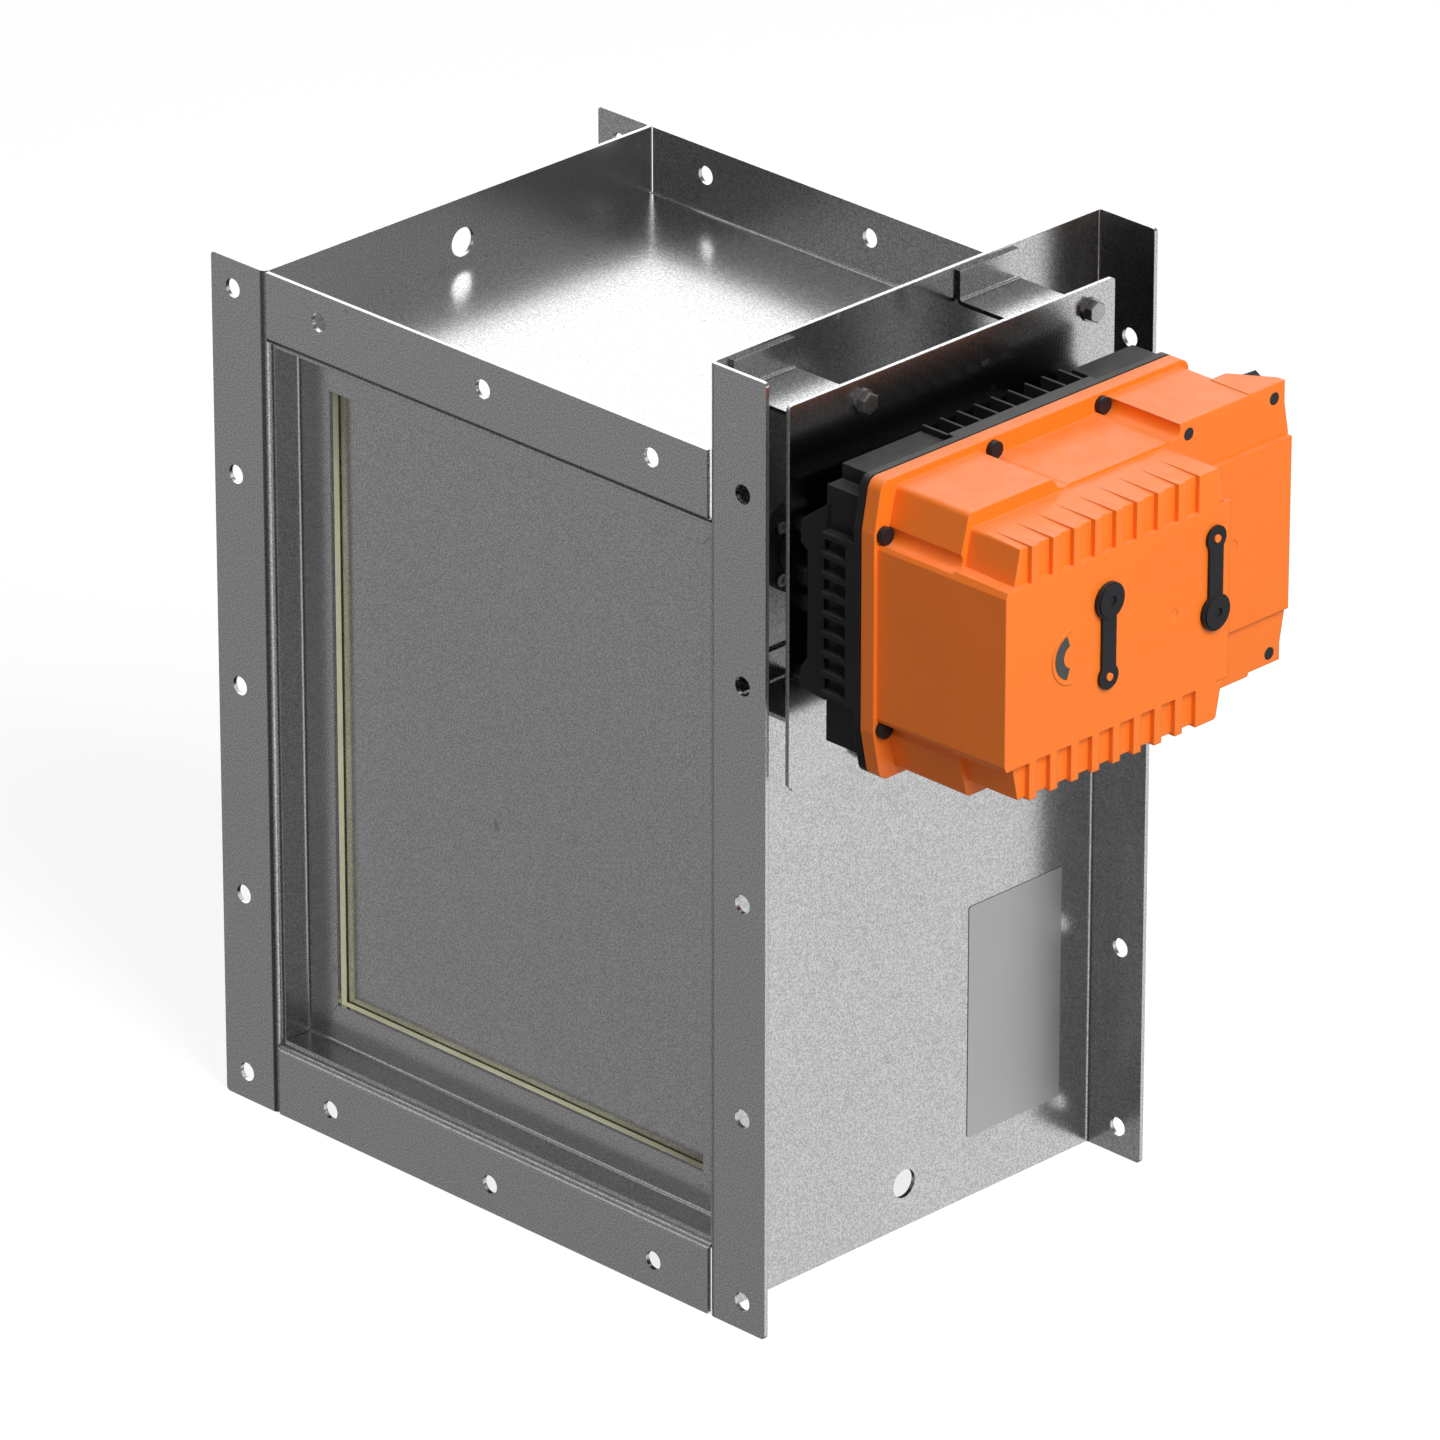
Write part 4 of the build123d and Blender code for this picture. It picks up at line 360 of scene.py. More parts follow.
def zinc_grain_group():
    """Sand-like speckle of a galvanised sheet, with slow clouds in it."""
    tree, given, result = new_group(
        "Zinc grain",
        {"Light": (0.6, 0.6, 0.6, 1.0), "Dark": (0.4, 0.4, 0.4, 1.0), "Smooth": 0.2, "Rough": 0.3},
        {"Color": "Color", "Roughness": "Float", "Height": "Float"})
    point = object_point(tree)
    speckle = ranged(tree, noise(tree, point, scale=880.0, detail=1.0), low=0.38, high=0.62)
    cloud = spread(tree, noise(tree, point, scale=7.0))
    tone = weighted(tree, speckle, cloud, share=0.88)
    fill(tree, result["Color"], mixed(tree, tone, given["Dark"], given["Light"]))
    fill(tree, result["Roughness"], ranged(tree, cloud, 0.0, 1.0, given["Smooth"], given["Rough"]))
    fill(tree, result["Height"], speckle)


def handling_marks_group():
    """Rare smudges, and short scratches that lie slantwise in patches."""
    tree, given, result = new_group(
        "Handling marks", {"Smudge Scale": 60.0, "Scratch Scale": 90.0},
        {"Smudge": "Float", "Scratch": "Float"})
    point = object_point(tree)
    spots = noise(tree, point, given["Smudge Scale"], detail=1.0)
    fill(tree, result["Smudge"], ranged(tree, spots, low=0.76, high=0.82))
    slanted = object_point(tree, Rotation=(0.6, 0.4, 0.2), Scale=(1.0, 0.12, 1.0))
    lines = noise(tree, slanted, given["Scratch Scale"])
    ridge = maths(tree, "ABSOLUTE", maths(tree, "SUBTRACT", lines, NOISE_MIDDLE))
    thin = ranged(tree, ridge, low=0.0, high=0.006, to_low=1.0, to_high=0.0)
    patches = ranged(tree, noise(tree, point, scale=38.0, detail=1.0), low=0.66, high=0.70)
    fill(tree, result["Scratch"], maths(tree, "MULTIPLY", thin, patches))


def rounded_edges_group():
    """Normal that turns softly over each edge, and a mask of where it turns."""
    tree, given, result = new_group(
        "Rounded edges", {"Radius": 0.0006}, {"Edge": "Float", "Normal": "Vector"})
    bevel = put(tree, "ShaderNodeBevel", {"Radius": given["Radius"]}, samples=4).outputs[0]
    flat = put(tree, "ShaderNodeNewGeometry").outputs["True Normal"]
    same = alignment(tree, bevel, flat)
    fill(tree, result["Edge"], ranged(tree, same, low=0.86, high=0.99, to_low=1.0, to_high=0.0))
    fill(tree, result["Normal"], bevel)


def moulded_grain_group():
    """Fine pits of a spark-eroded mould, and slow flow marks."""
    tree, given, result = new_group(
        "Moulded grain", {"Pit Scale": 1500.0, "Flow Scale": 14.0}, {"Height": "Float", "Tone": "Float"})
    pits = noise(tree, object_point(tree), given["Pit Scale"], roughness=0.6)
    flow = noise(tree, object_point(tree, Scale=(1.0, 0.35, 1.0)), given["Flow Scale"], detail=3.0)
    fill(tree, result["Height"], pits)
    fill(tree, result["Tone"], spread(tree, flow))


def dust_and_top_light_group():
    """Paler patches on faces which look up: thin dust, and on the cover painted light from above."""
    tree, given, result = new_group("Settled dust and top light", {"Amount": 0.1}, {"Dust": "Float"})
    normal = put(tree, "ShaderNodeNewGeometry").outputs["Normal"]
    up = put(tree, "ShaderNodeSeparateXYZ", {"Vector": normal}).outputs["Z"]
    drift = noise(tree, object_point(tree), scale=55.0, detail=4.0, roughness=0.65)
    patches = ranged(tree, drift, low=0.15, high=0.75)
    lying = maths(tree, "MULTIPLY", ranged(tree, up, low=0.55, high=0.95), patches)
    fill(tree, result["Dust"], maths(tree, "MULTIPLY", lying, given["Amount"]))


def new_material(name):
    """Material with its tree and its shader."""
    material = bpy.data.materials.new(name)
    material.use_nodes = True
    return material, material.node_tree, material.node_tree.nodes["Principled BSDF"]


def feed(tree, shader, colour, roughness, metallic=0.0):
    """Feeds the colour and the roughness into the shader, and sets how metallic it is."""
    fill(tree, shader.inputs["Base Color"], colour)
    fill(tree, shader.inputs["Roughness"], roughness)
    shader.inputs["Metallic"].default_value = metallic


def bump(tree, shader, height, distance, **base):
    """Feeds a height through a Bump node into the shader's Normal, on top of a Normal where one is given."""
    inputs = {"Height": height, "Distance": distance, **base}
    fill(tree, shader.inputs["Normal"], put(tree, "ShaderNodeBump", inputs).outputs["Normal"])


def rgba(colour, factor=1.0):
    """Colour times the factor, with no part over 1, as a socket value."""
    return tuple(min(1.0, part * factor) for part in colour) + (1.0,)


def finish_node(name, material):
    """Gives the material to one part node."""
    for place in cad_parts[name].material_slots:
        place.link = "OBJECT"
        place.material = material


def finish_slot(slot, material):
    """Gives the material to every part node whose record slot is that one."""
    found = [name for name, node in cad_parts.items()
             if node.data.materials[0].name.split(".")[0] == slot]
    if not found:
        raise RuntimeError(f"no node of the part has the slot {slot}")
    for name in found:
        finish_node(name, material)


# Finishes of the metal pieces

def galvanised_material(colours):
    """Galvanised sheet: satin zinc with fine grain, smudges, scratches and softly rounded edges."""
    material, tree, shader = new_material("Galvanised sheet finish")
    grain = use_group(tree, "Zinc grain", Light=rgba(colours.zinc), Dark=rgba(colours.zinc_shade),
                      Smooth=0.20, Rough=0.24)
    marks = use_group(tree, "Handling marks", Smudge_Scale=60.0, Scratch_Scale=90.0)
    edges = use_group(tree, "Rounded edges", Radius=SHEET_EDGE)
    dull = rgba(colours.zinc_shade, factor=0.6)
    bright = rgba(colours.zinc, factor=1.5)
    colour = tinted(tree, grain["Color"], dull, marks["Smudge"], most=0.22)
    colour = tinted(tree, colour, bright, marks["Scratch"], most=0.5)
    smeared = maths(tree, "MULTIPLY", marks["Smudge"], SMUDGE_ROUGHENING)
    feed(tree, shader, colour, maths(tree, "ADD", grain["Roughness"], smeared), metallic=1.0)
    bump(tree, shader, grain["Height"], SHEET_GRAIN, Normal=edges["Normal"])
    return material


def foil_material():
    """Bare aluminium foil plate: lighter and more matt than the sheet it is stuck on."""
    material, tree, shader = new_material("Label foil finish")
    brushed = noise(tree, object_point(tree, Scale=(1.0, 1.0, 0.04)), scale=900.0)
    cloud = noise(tree, object_point(tree), scale=18.0, detail=3.0)
    tone = weighted(tree, brushed, cloud, share=0.35)
    colour = mixed(tree, tone, rgba(FOIL_DARK), rgba(FOIL_LIGHT))
    feed(tree, shader, colour, spread(tree, tone, lowest=0.38, highest=0.50), metallic=1.0)
    bump(tree, shader, brushed, TOOL_MARKS)
    return material


def fastener_material():
    """Zinc-plated bolts, nuts and washers: a shade warmer and darker than the sheet."""
    material, tree, shader = new_material("Zinc fastener finish")
    edges = use_group(tree, "Rounded edges", Radius=FASTENER_EDGE)
    grain = use_group(tree, "Zinc grain", Light=rgba(BOLT_LIGHT), Dark=rgba(BOLT_DARK),
                      Smooth=0.24, Rough=0.32)
    colour = tinted(tree, grain["Color"], rgba(BOLT_WORN), edges["Edge"], most=0.5)
    feed(tree, shader, colour, grain["Roughness"], metallic=1.0)
    bump(tree, shader, grain["Height"], FASTENER_GRAIN, Normal=edges["Normal"])
    return material


def machined_material(name, light, dark, smooth, rough, stretch=TURNED):
    """Turned or drawn metal: fine tool marks, stains, and worn bright edges."""
    material, tree, shader = new_material(name)
    edges = use_group(tree, "Rounded edges", Radius=MACHINED_EDGE)
    marks = noise(tree, object_point(tree, Scale=stretch), scale=1400.0)
    stain = noise(tree, object_point(tree), scale=45.0, detail=4.0, roughness=0.6)
    tone = weighted(tree, marks, stain, share=0.4)
    colour = mixed(tree, ranged(tree, tone, low=0.35, high=0.65), rgba(dark), rgba(light))
    colour = tinted(tree, colour, rgba(light, factor=1.3), edges["Edge"], most=0.5)
    feed(tree, shader, colour, spread(tree, tone, smooth, rough), metallic=1.0)
    bump(tree, shader, marks, TOOL_MARKS, Normal=edges["Normal"])
    return material


def casting_material():
    """Sand-cast grey iron with a painted, slightly pebbled skin."""
    material, tree, shader = new_material("Bearing casting finish")
    edges = use_group(tree, "Rounded edges", Radius=CASTING_EDGE)
    skin = noise(tree, object_point(tree), scale=420.0, detail=4.0, roughness=0.65)
    colour = mixed(tree, spread(tree, skin), rgba(CASTING_DARK), rgba(CASTING_LIGHT))
    colour = tinted(tree, colour, rgba(CASTING_WORN), edges["Edge"], most=0.4)
    feed(tree, shader, colour, spread(tree, skin, lowest=0.42, highest=0.6), metallic=0.6)
    bump(tree, shader, skin, CASTING_GRAIN, Normal=edges["Normal"])
    return material


# Finishes of the plastic and rubber pieces

def cover_material(colours):
    """Orange moulded plastic: satin skin with fine pits, slow flow marks, paler worn edges, and faces which
    look up made paler by thin dust and painted light from above.
    """
    material, tree, shader = new_material("Actuator cover finish")
    grain = use_group(tree, "Moulded grain", Pit_Scale=1500.0, Flow_Scale=14.0)
    edges = use_group(tree, "Rounded edges", Radius=COVER_EDGE)
    dust_and_top_light = use_group(tree, "Settled dust and top light", Amount=0.14)
    colour = mixed(tree, grain["Tone"], rgba(colours.cover, factor=0.97), rgba(colours.cover, factor=1.03))
    colour = tinted(tree, colour, rgba(COVER_WORN), edges["Edge"], most=0.22)
    # Painted top light: faces which look up go paler, partly thin dust and partly painted light from above
    colour = mixed(tree, dust_and_top_light["Dust"], colour, rgba(COVER_DUST_AND_TOP_LIGHT))
    feed(tree, shader, colour, spread(tree, grain["Height"], lowest=0.40, highest=0.50))
    bump(tree, shader, grain["Height"], COVER_GRAIN, Normal=edges["Normal"])
    return material


def moulded_black_material(name, colour, edge, smooth, rough, dust_amount):
    """Black moulded plastic or rubber: near black, paler on edges, with thin dust on top."""
    material, tree, shader = new_material(name)
    grain = use_group(tree, "Moulded grain", Pit_Scale=1300.0, Flow_Scale=22.0)
    edges = use_group(tree, "Rounded edges", Radius=edge)
    dust_and_top_light = use_group(tree, "Settled dust and top light", Amount=dust_amount)
    tint = mixed(tree, grain["Tone"], rgba(colour, factor=0.85), rgba(colour, factor=1.2))
    tint = tinted(tree, tint, rgba(colour, factor=2.6), edges["Edge"], most=0.5)
    tint = mixed(tree, dust_and_top_light["Dust"], tint, rgba(BLACK_DUST))
    feed(tree, shader, tint, spread(tree, grain["Height"], smooth, rough))
    shader.inputs["Specular IOR Level"].default_value = 0.22
    bump(tree, shader, grain["Height"], BLACK_GRAIN, Normal=edges["Normal"])
    return material


def foam_material(colours):
    """Cream closed-cell foam: tiny open cells on the cut skin with painted shade in them, and a slow change
    of tone.
    """
    material, tree, shader = new_material("Seal foam finish")
    point = object_point(tree)
    cells = put(tree, "ShaderNodeTexVoronoi", {"Vector": point, "Scale": 1500.0}).outputs["Distance"]
    cloud = spread(tree, noise(tree, point, scale=30.0, detail=3.0))
    # Painted shade in the open cells: darker towards the middle of each cell
    pore_shade = ranged(tree, cells, low=0.0, high=0.35, to_low=0.35, to_high=0.0)
    colour = mixed(tree, cloud, rgba(colours.seal, factor=0.86), rgba(colours.seal, factor=1.08))
    colour = mixed(tree, pore_shade, colour, rgba(colours.seal, factor=0.55))
    feed(tree, shader, colour, ranged(tree, cells, low=0.0, high=0.6, to_low=0.85, to_high=0.65))
    bump(tree, shader, cells, FOAM_PORES)
    return material


def window_material():
    """Smoked clear plastic over the position disc, nearly black and glossy."""
    material, tree, shader = new_material("Smoked window finish")
    haze = noise(tree, object_point(tree), scale=160.0, detail=3.0)
    colour = mixed(tree, spread(tree, haze), rgba(WINDOW_DARK), rgba(WINDOW_LIGHT))
    feed(tree, shader, colour, spread(tree, haze, lowest=0.08, highest=0.16))
    shader.inputs["Coat Weight"].default_value = 0.5
    return material


def board_material():
    """Green circuit board: solder mask with faint copper tracks under it."""
    material, tree, shader = new_material("Circuit board finish")
    upright = object_point(tree, Rotation=(0.0, math.radians(90), 0.0))
    tracks = put(tree, "ShaderNodeTexBrick", {
        "Vector": upright, "Scale": 150.0, "Mortar Size": 0.06,
        "Color1": rgba(BOARD_DARK), "Color2": rgba(BOARD_LIGHT), "Mortar": rgba(BOARD_TRACK)})
    haze = noise(tree, object_point(tree), scale=120.0)
    feed(tree, shader, tracks.outputs["Color"], spread(tree, haze, lowest=0.25, highest=0.38))
    return material


# Surfaces of the pieces made here, each a grid of rings of points

def signed_power(value, power):
    """Power of the value's size, with the value's own sign."""
    return np.sign(value) * np.abs(value) ** power


def rounded_end(share):
    """Quarter circle: rises from 0 at a share of 0 to 1 at a share of 1, and stays there."""
    return np.sqrt(1 - (1 - np.clip(share, 0.0, 1.0)) ** 2)


def bar_surface(low, high, lip, around=24, along=60):
    """Soft bar that fills a box.

    The section is a superellipse: half the size times the cosine and the sine of the angle, each raised to
    the power FOAM_POWER with its own sign. On the flap's side a half wave of a cosine adds the lip. Near
    each end a quarter circle draws the section in to FOAM_END, and the rings crowd there as a cosine does.
    """
    low = np.array(low)
    high = np.array(high)
    size = high - low
    middle = (low + high) / 2
    run = int(np.argmax(size))
    side = X if run == Z else Z
    angle = np.linspace(0.0, 2 * np.pi, around, endpoint=False)
    across = signed_power(np.cos(angle), FOAM_POWER)
    depth = signed_power(np.sin(angle), FOAM_POWER)
    reach = size[run] * (1 - np.cos(np.linspace(0.0, np.pi, along))) / 2
    rounding = min(size[side], size[Y]) * FOAM_ROUNDING
    from_end = np.minimum(reach, size[run] - reach) / rounding
    shrink = FOAM_END + (1 - FOAM_END) * rounded_end(from_end)
    half_depth = (size[Y] - lip) / 2
    raised = lip * np.clip(np.cos(np.pi / 2 * across / LIP_REACH), 0.0, 1.0) * (depth > 0)
    points = np.zeros((along, around, 3))
    points[:, :, run] = (low[run] + reach)[:, None]
    points[:, :, side] = middle[side] + size[side] / 2 * across * shrink[:, None]
    points[:, :, Y] = low[Y] + half_depth + (half_depth * depth + raised) * shrink[:, None]
    return points


def thread_surface(x, z, crest, start, end, pitch, around=36, per_turn=8):
    """Screw thread round an axis along Y.

    A tube whose radius falls from the crest to the root and back once per pitch: the crest's radius minus
    the depth times half of one plus the cosine of the turn angle less the way along in turns. Both ends run
    out into the core.
    """
    turns = (end - start) / pitch
    rings = int(turns * per_turn) + 1
    angle = np.linspace(0.0, 2 * np.pi, around, endpoint=False)
    way = np.linspace(0.0, 1.0, rings)[:, None]
    wave = (1 + np.cos(angle - 2 * np.pi * turns * way)) / 2
    taper = np.clip(np.minimum(way, 1 - way) * turns / THREAD_RUNOUT, 0.0, 1.0)
    radius = crest - THREAD_DEPTH * pitch * (1 - taper * (1 - wave))
    points = np.zeros((rings, around, 3))
    points[:, :, X] = x + radius * np.cos(angle)
    points[:, :, Y] = start + way * (end - start)
    points[:, :, Z] = z + radius * np.sin(angle)
    return points


def bead_surface(start, end, width, seed, around=10, per_scale=6):
    """Weld bead between two points on the flap's back.

    A round rod along the line, flattened in Y, with half of it under the skin. It swells once for each scale
    of the weld: one less BEAD_SWELL, plus BEAD_SWELL times the size of the sine of the way in scales. Its
    middle sways a little to both sides, and its ends are rounded.
    """
    start = np.array(start)
    run = np.array(end) - start
    length = np.linalg.norm(run)
    depth = np.array((0.0, 1.0, 0.0))
    across = np.cross(run / length, depth)
    scales = int(length / (width * SCALE_STEP))
    way = np.linspace(0.0, 1.0, scales * per_scale + 1)
    swell = 1 - BEAD_SWELL + BEAD_SWELL * np.abs(np.sin(np.pi * way * scales))
    from_end = np.minimum(way, 1 - way) * length / (width * BEAD_TAPER)
    sway = np.random.default_rng(seed).normal(0.0, BEAD_SWAY, len(way)) * width
    radius = width / 2 * swell * np.maximum(rounded_end(from_end), BEAD_LAST_RING)
    angle = np.linspace(0.0, 2 * np.pi, around, endpoint=False)[:, None]
    ring = np.cos(angle) * across + BEAD_HEIGHT * np.sin(angle) * depth
    middle = start + way[:, None] * run + sway[:, None] * across
    return middle[:, None, :] + radius[:, None, None] * ring


# Meshes of the pieces made here

def grid_faces(rings, around):
    """Quads between the neighbours in a grid of rings."""
    ring, place = np.meshgrid(np.arange(rings - 1), np.arange(around), indexing="ij")
    after = (place + 1) % around
    corners = (ring * around + place, ring * around + after,
               (ring + 1) * around + after, (ring + 1) * around + place)
    return np.stack([corner.ravel() for corner in corners], axis=1)


def closed_grid(grid):
    """Points, quads between the rings, and the fans that close both ends on a middle point."""
    rings, around = grid.shape[:2]
    points = np.vstack([grid.reshape(-1, 3), grid[0].mean(axis=0), grid[-1].mean(axis=0)])
    step = np.arange(around)
    after = (step + 1) % around
    last_ring = (rings - 1) * around
    first_middle = np.full(around, rings * around)
    fans = np.vstack([np.stack([after, step, first_middle], axis=1),
                      np.stack([last_ring + step, last_ring + after, first_middle + 1], axis=1)])
    return points, grid_faces(rings, around), fans


def faces_outwards(mesh):
    """Merges the doubles of a closed mesh and turns its faces outwards."""
    work = bmesh.new()
    work.from_mesh(mesh)
    bmesh.ops.remove_doubles(work, verts=work.verts, dist=SAME_POINT)
    bmesh.ops.recalc_face_normals(work, faces=work.faces)
    work.to_mesh(mesh)
    work.free()


def closed_piece(name, grids, material, body):
    """Piece made of one or more closed tubes, each from a grid of rings."""
    points = []
    faces = []
    count = 0
    for grid in grids:
        tube, quads, fans = closed_grid(grid)
        points.append(tube)
        faces += (quads + count).tolist() + (fans + count).tolist()
        count += len(tube)
    mesh = bpy.data.meshes.new(name)
    mesh.from_pydata(np.vstack(points).tolist(), [], faces)
    faces_outwards(mesh)
    mesh.polygons.foreach_set("use_smooth", np.ones(len(mesh.polygons), dtype=bool))
    mesh.materials.append(material)
    piece = bpy.data.objects.new(name, mesh)
    bpy.context.scene.collection.objects.link(piece)
    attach(piece, body)
    return piece


# Pieces made here

def seal_strip(side, material, lip, levels):
    """One foam strip of the seat, in the box of the node that it stands for."""
    node = "seat_gasket_" + side
    low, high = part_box(node)
    bar = bar_surface(low, high, lip)
    piece = closed_piece("seal_strip_" + side, [bar], material, "casing")
    skin = piece.modifiers.new("Soft skin", "SUBSURF")
    skin.levels = levels
    skin.render_levels = levels
    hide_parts(node)


def stud_threads(material, pitch):
    """Threads of the studs, where they stand out of the nuts that hold the flap's arms."""
    nuts_low, nuts_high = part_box("arm_nuts")
    arm_low, arm_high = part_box("blade_arm_right")
    half_flats = NUT_FLATS / 2
    outer = nuts_high.x - half_flats / math.cos(NUT_HALF_SIDE)
    inner = arm_low.x + arm_high.x - outer
    start = nuts_high.y
    grids = []
    for x in (-outer, -inner, inner, outer):
        for z in (nuts_low.z + half_flats, nuts_high.z - half_flats):
            grids.append(thread_surface(x, z, STUD_CREST, start, start + STUD_LENGTH, pitch))
    closed_piece("stud_threads", grids, material, "flap")


def weld_beads(material, width):
    """Short welds along both feet of each stiffener on the flap's back."""
    grids = []
    for side in ("left", "right"):
        low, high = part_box("blade_stiffener_" + side)
        middles = np.linspace(low.z + WELD_MARGIN, high.z - WELD_MARGIN, WELDS_ON_EDGE)
        for x in (low.x, high.x):
            for middle in middles:
                start = (x, low.y, middle - WELD_LENGTH / 2)
                end = (x, low.y, middle + WELD_LENGTH / 2)
                grids.append(bead_surface(start, end, width, seed=len(grids)))
    closed_piece("weld_beads", grids, material, "flap")


# Studio

def way_to(azimuth, elevation):
    """Unit vector from the part towards an azimuth and an elevation, both in radians."""
    level = math.cos(elevation)
    return Vector((math.sin(azimuth) * level, -math.cos(azimuth) * level, math.sin(elevation)))


def floor_material():
    """Pale matt floor that keeps the shadow, and is white to the camera and in mirrors and clear plastic."""
    material, tree, shader = new_material("Pale floor")
    speck = noise(tree, object_point(tree), scale=3.0)
    shader.inputs["Roughness"].default_value = 0.9
    fill(tree, shader.inputs["Base Color"], mixed(tree, speck, rgba(FLOOR_DARK), rgba(FLOOR_LIGHT)))
    white = put(tree, "ShaderNodeEmission", {"Color": rgba(WHITE), "Strength": 0.82})
    pale = put(tree, "ShaderNodeBsdfDiffuse", {"Color": rgba(FLOOR_SHOWN)})
    shown = put(tree, "ShaderNodeAddShader", {0: white.outputs[0], 1: pale.outputs[0]})
    rays = put(tree, "ShaderNodeLightPath").outputs
    mirrored = maths(tree, "MAXIMUM", rays["Is Glossy Ray"], rays["Is Transmission Ray"])
    seen = maths(tree, "MAXIMUM", rays["Is Camera Ray"], mirrored)
    blend = put(tree, "ShaderNodeMixShader", {0: seen, 1: shader.outputs[0], 2: shown.outputs[0]})
    fill(tree, tree.nodes["Material Output"].inputs["Surface"], blend.outputs[0])
    return material


def make_floor():
    """Round floor just under the flanges: rings whose radius grows as a power of the way out.

    Metal doesn't mirror it, because it mirrors the soft walls of the world there.
    """
    way_out = np.linspace(0.0, 1.0, FLOOR_RINGS)[:, None]
    radius = way_out ** FLOOR_CROWDING * FLOOR_RADIUS + FLOOR_INNER_RING
    angle = np.linspace(0.0, 2 * np.pi, FLOOR_SIDES, endpoint=False)
    grid = np.zeros((FLOOR_RINGS, FLOOR_SIDES, 3))
    grid[:, :, X] = radius * np.cos(angle)
    grid[:, :, Y] = radius * np.sin(angle) + DUCT_MIDDLE
    grid[:, :, Z] = SOLE - FLOOR_DROP
    points = np.vstack([grid.reshape(-1, 3), (0.0, DUCT_MIDDLE, SOLE - FLOOR_DROP)])
    fan = [(step, (step + 1) % FLOOR_SIDES, len(points) - 1) for step in range(FLOOR_SIDES)]
    mesh = bpy.data.meshes.new("studio_floor")
    mesh.from_pydata(points.tolist(), [], grid_faces(FLOOR_RINGS, FLOOR_SIDES).tolist() + fan)
    mesh.materials.append(floor_material())
    floor = bpy.data.objects.new("studio_floor", mesh)
    bpy.context.scene.collection.objects.link(floor)
    floor.visible_glossy = False


def make_key_lamp(power):
    """Large square lamp high on the right. Metal reflects the soft walls and not the lamp."""
    lamp = bpy.data.lights.new("key_lamp", "AREA")
    lamp.energy = power
    lamp.shape = "SQUARE"
    lamp.size = LAMP_SIZE
    holder = bpy.data.objects.new("key_lamp", lamp)
    towards = way_to(LAMP_AZIMUTH, LAMP_ELEVATION)
    holder.location = CAMERA_AIM + towards * LAMP_DISTANCE
    holder.rotation_euler = towards.to_track_quat("Z", "Y").to_euler()
    holder.visible_glossy = False
    bpy.context.scene.collection.objects.link(holder)


def soft_wall(tree, direction, place, level):
    """Level of one soft wall of the studio: full round its middle, and fading smoothly to nothing."""
    azimuth, elevation, fading, ending = (math.radians(part) for part in place)
    facing = alignment(tree, direction, way_to(azimuth, elevation))
    return ranged(tree, facing, math.cos(ending), math.cos(fading), to_high=level, curve="SMOOTHSTEP")


def make_world(studio):
    """Even room light on the part, white for the camera and through clear plastic, soft walls for metal."""
    world = bpy.data.worlds.new("Studio walls")
    bpy.context.scene.world = world
    world.use_nodes = True
    tree = world.node_tree
    room = tree.nodes["Background"]
    room.inputs["Color"].default_value = rgba(WHITE)
    room.inputs["Strength"].default_value = studio.room_light
    direction = put(tree, "ShaderNodeTexCoord").outputs["Generated"]
    height = put(tree, "ShaderNodeSeparateXYZ", {"Vector": direction}).outputs["Z"]
    foot, full = (math.sin(math.radians(part)) for part in ROOM_FOOT)
    walls = ranged(tree, height, foot, full, studio.dim_floor, studio.dim_floor + studio.room_wall)
    for name, place in SOFT_WALLS.items():
        walls = maths(tree, "ADD", soft_wall(tree, direction, place, getattr(studio, name)), walls)
    rays = put(tree, "ShaderNodeLightPath").outputs
    white = maths(tree, "MAXIMUM", rays["Is Camera Ray"], rays["Is Transmission Ray"])
    level = ranged(tree, white, 0.0, 1.0, to_low=walls)
    background = put(tree, "ShaderNodeBackground", {"Color": rgba(WHITE), "Strength": level})
    seen = maths(tree, "MAXIMUM", white, rays["Is Glossy Ray"])
    blend = put(tree, "ShaderNodeMixShader", {0: seen, 1: room.outputs[0], 2: background.outputs[0]})
    fill(tree, tree.nodes["World Output"].inputs["Surface"], blend.outputs[0])


def make_camera():
    """Camera at the picture's angle."""
    lens = bpy.data.cameras.new("picture_camera")
    lens.lens = CAMERA_LENS
    lens.sensor_width = SENSOR_WIDTH
    camera = bpy.data.objects.new("picture_camera", lens)
    camera.location = CAMERA_AIM + way_to(CAMERA_AZIMUTH, CAMERA_ELEVATION) * CAMERA_DISTANCE
    camera.rotation_euler = (math.pi / 2 - CAMERA_ELEVATION, 0.0, CAMERA_AZIMUTH)
    bpy.context.scene.collection.objects.link(camera)
    bpy.context.scene.camera = camera


# Operators

class FinishOperator:
    """What every operator of this file shares."""

    bl_options = {"REGISTER", "UNDO"}


class DAMPER_OT_shared_effects(FinishOperator, bpy.types.Operator):
    """Builds the shader groups that the finishes share"""

    bl_idname = "damper.shared_effects"
    bl_label = "Shared effects"

    def execute(self, context):
        zinc_grain_group()
        handling_marks_group()
        rounded_edges_group()
        moulded_grain_group()
        dust_and_top_light_group()
        return {"FINISHED"}


class DAMPER_OT_sheet_metal(FinishOperator, bpy.types.Operator):
    """Finishes the casing, the stop frame, the flap, the brackets and the plate, and welds the stiffeners"""

    bl_idname = "damper.sheet_metal"
    bl_label = "Sheet metal"

    def execute(self, context):
        material = galvanised_material(context.scene.damper_colours)
        finish_slot("galvanised_sheet", material)
        weld_beads(material, context.scene.damper_sizes.weld_width)
        return {"FINISHED"}


class DAMPER_OT_label_plate(FinishOperator, bpy.types.Operator):
    """Finishes the bare foil plate on the right wall"""

    bl_idname = "damper.label_plate"
    bl_label = "Label plate"

    def execute(self, context):
        finish_slot("label_foil", foil_material())
        return {"FINISHED"}


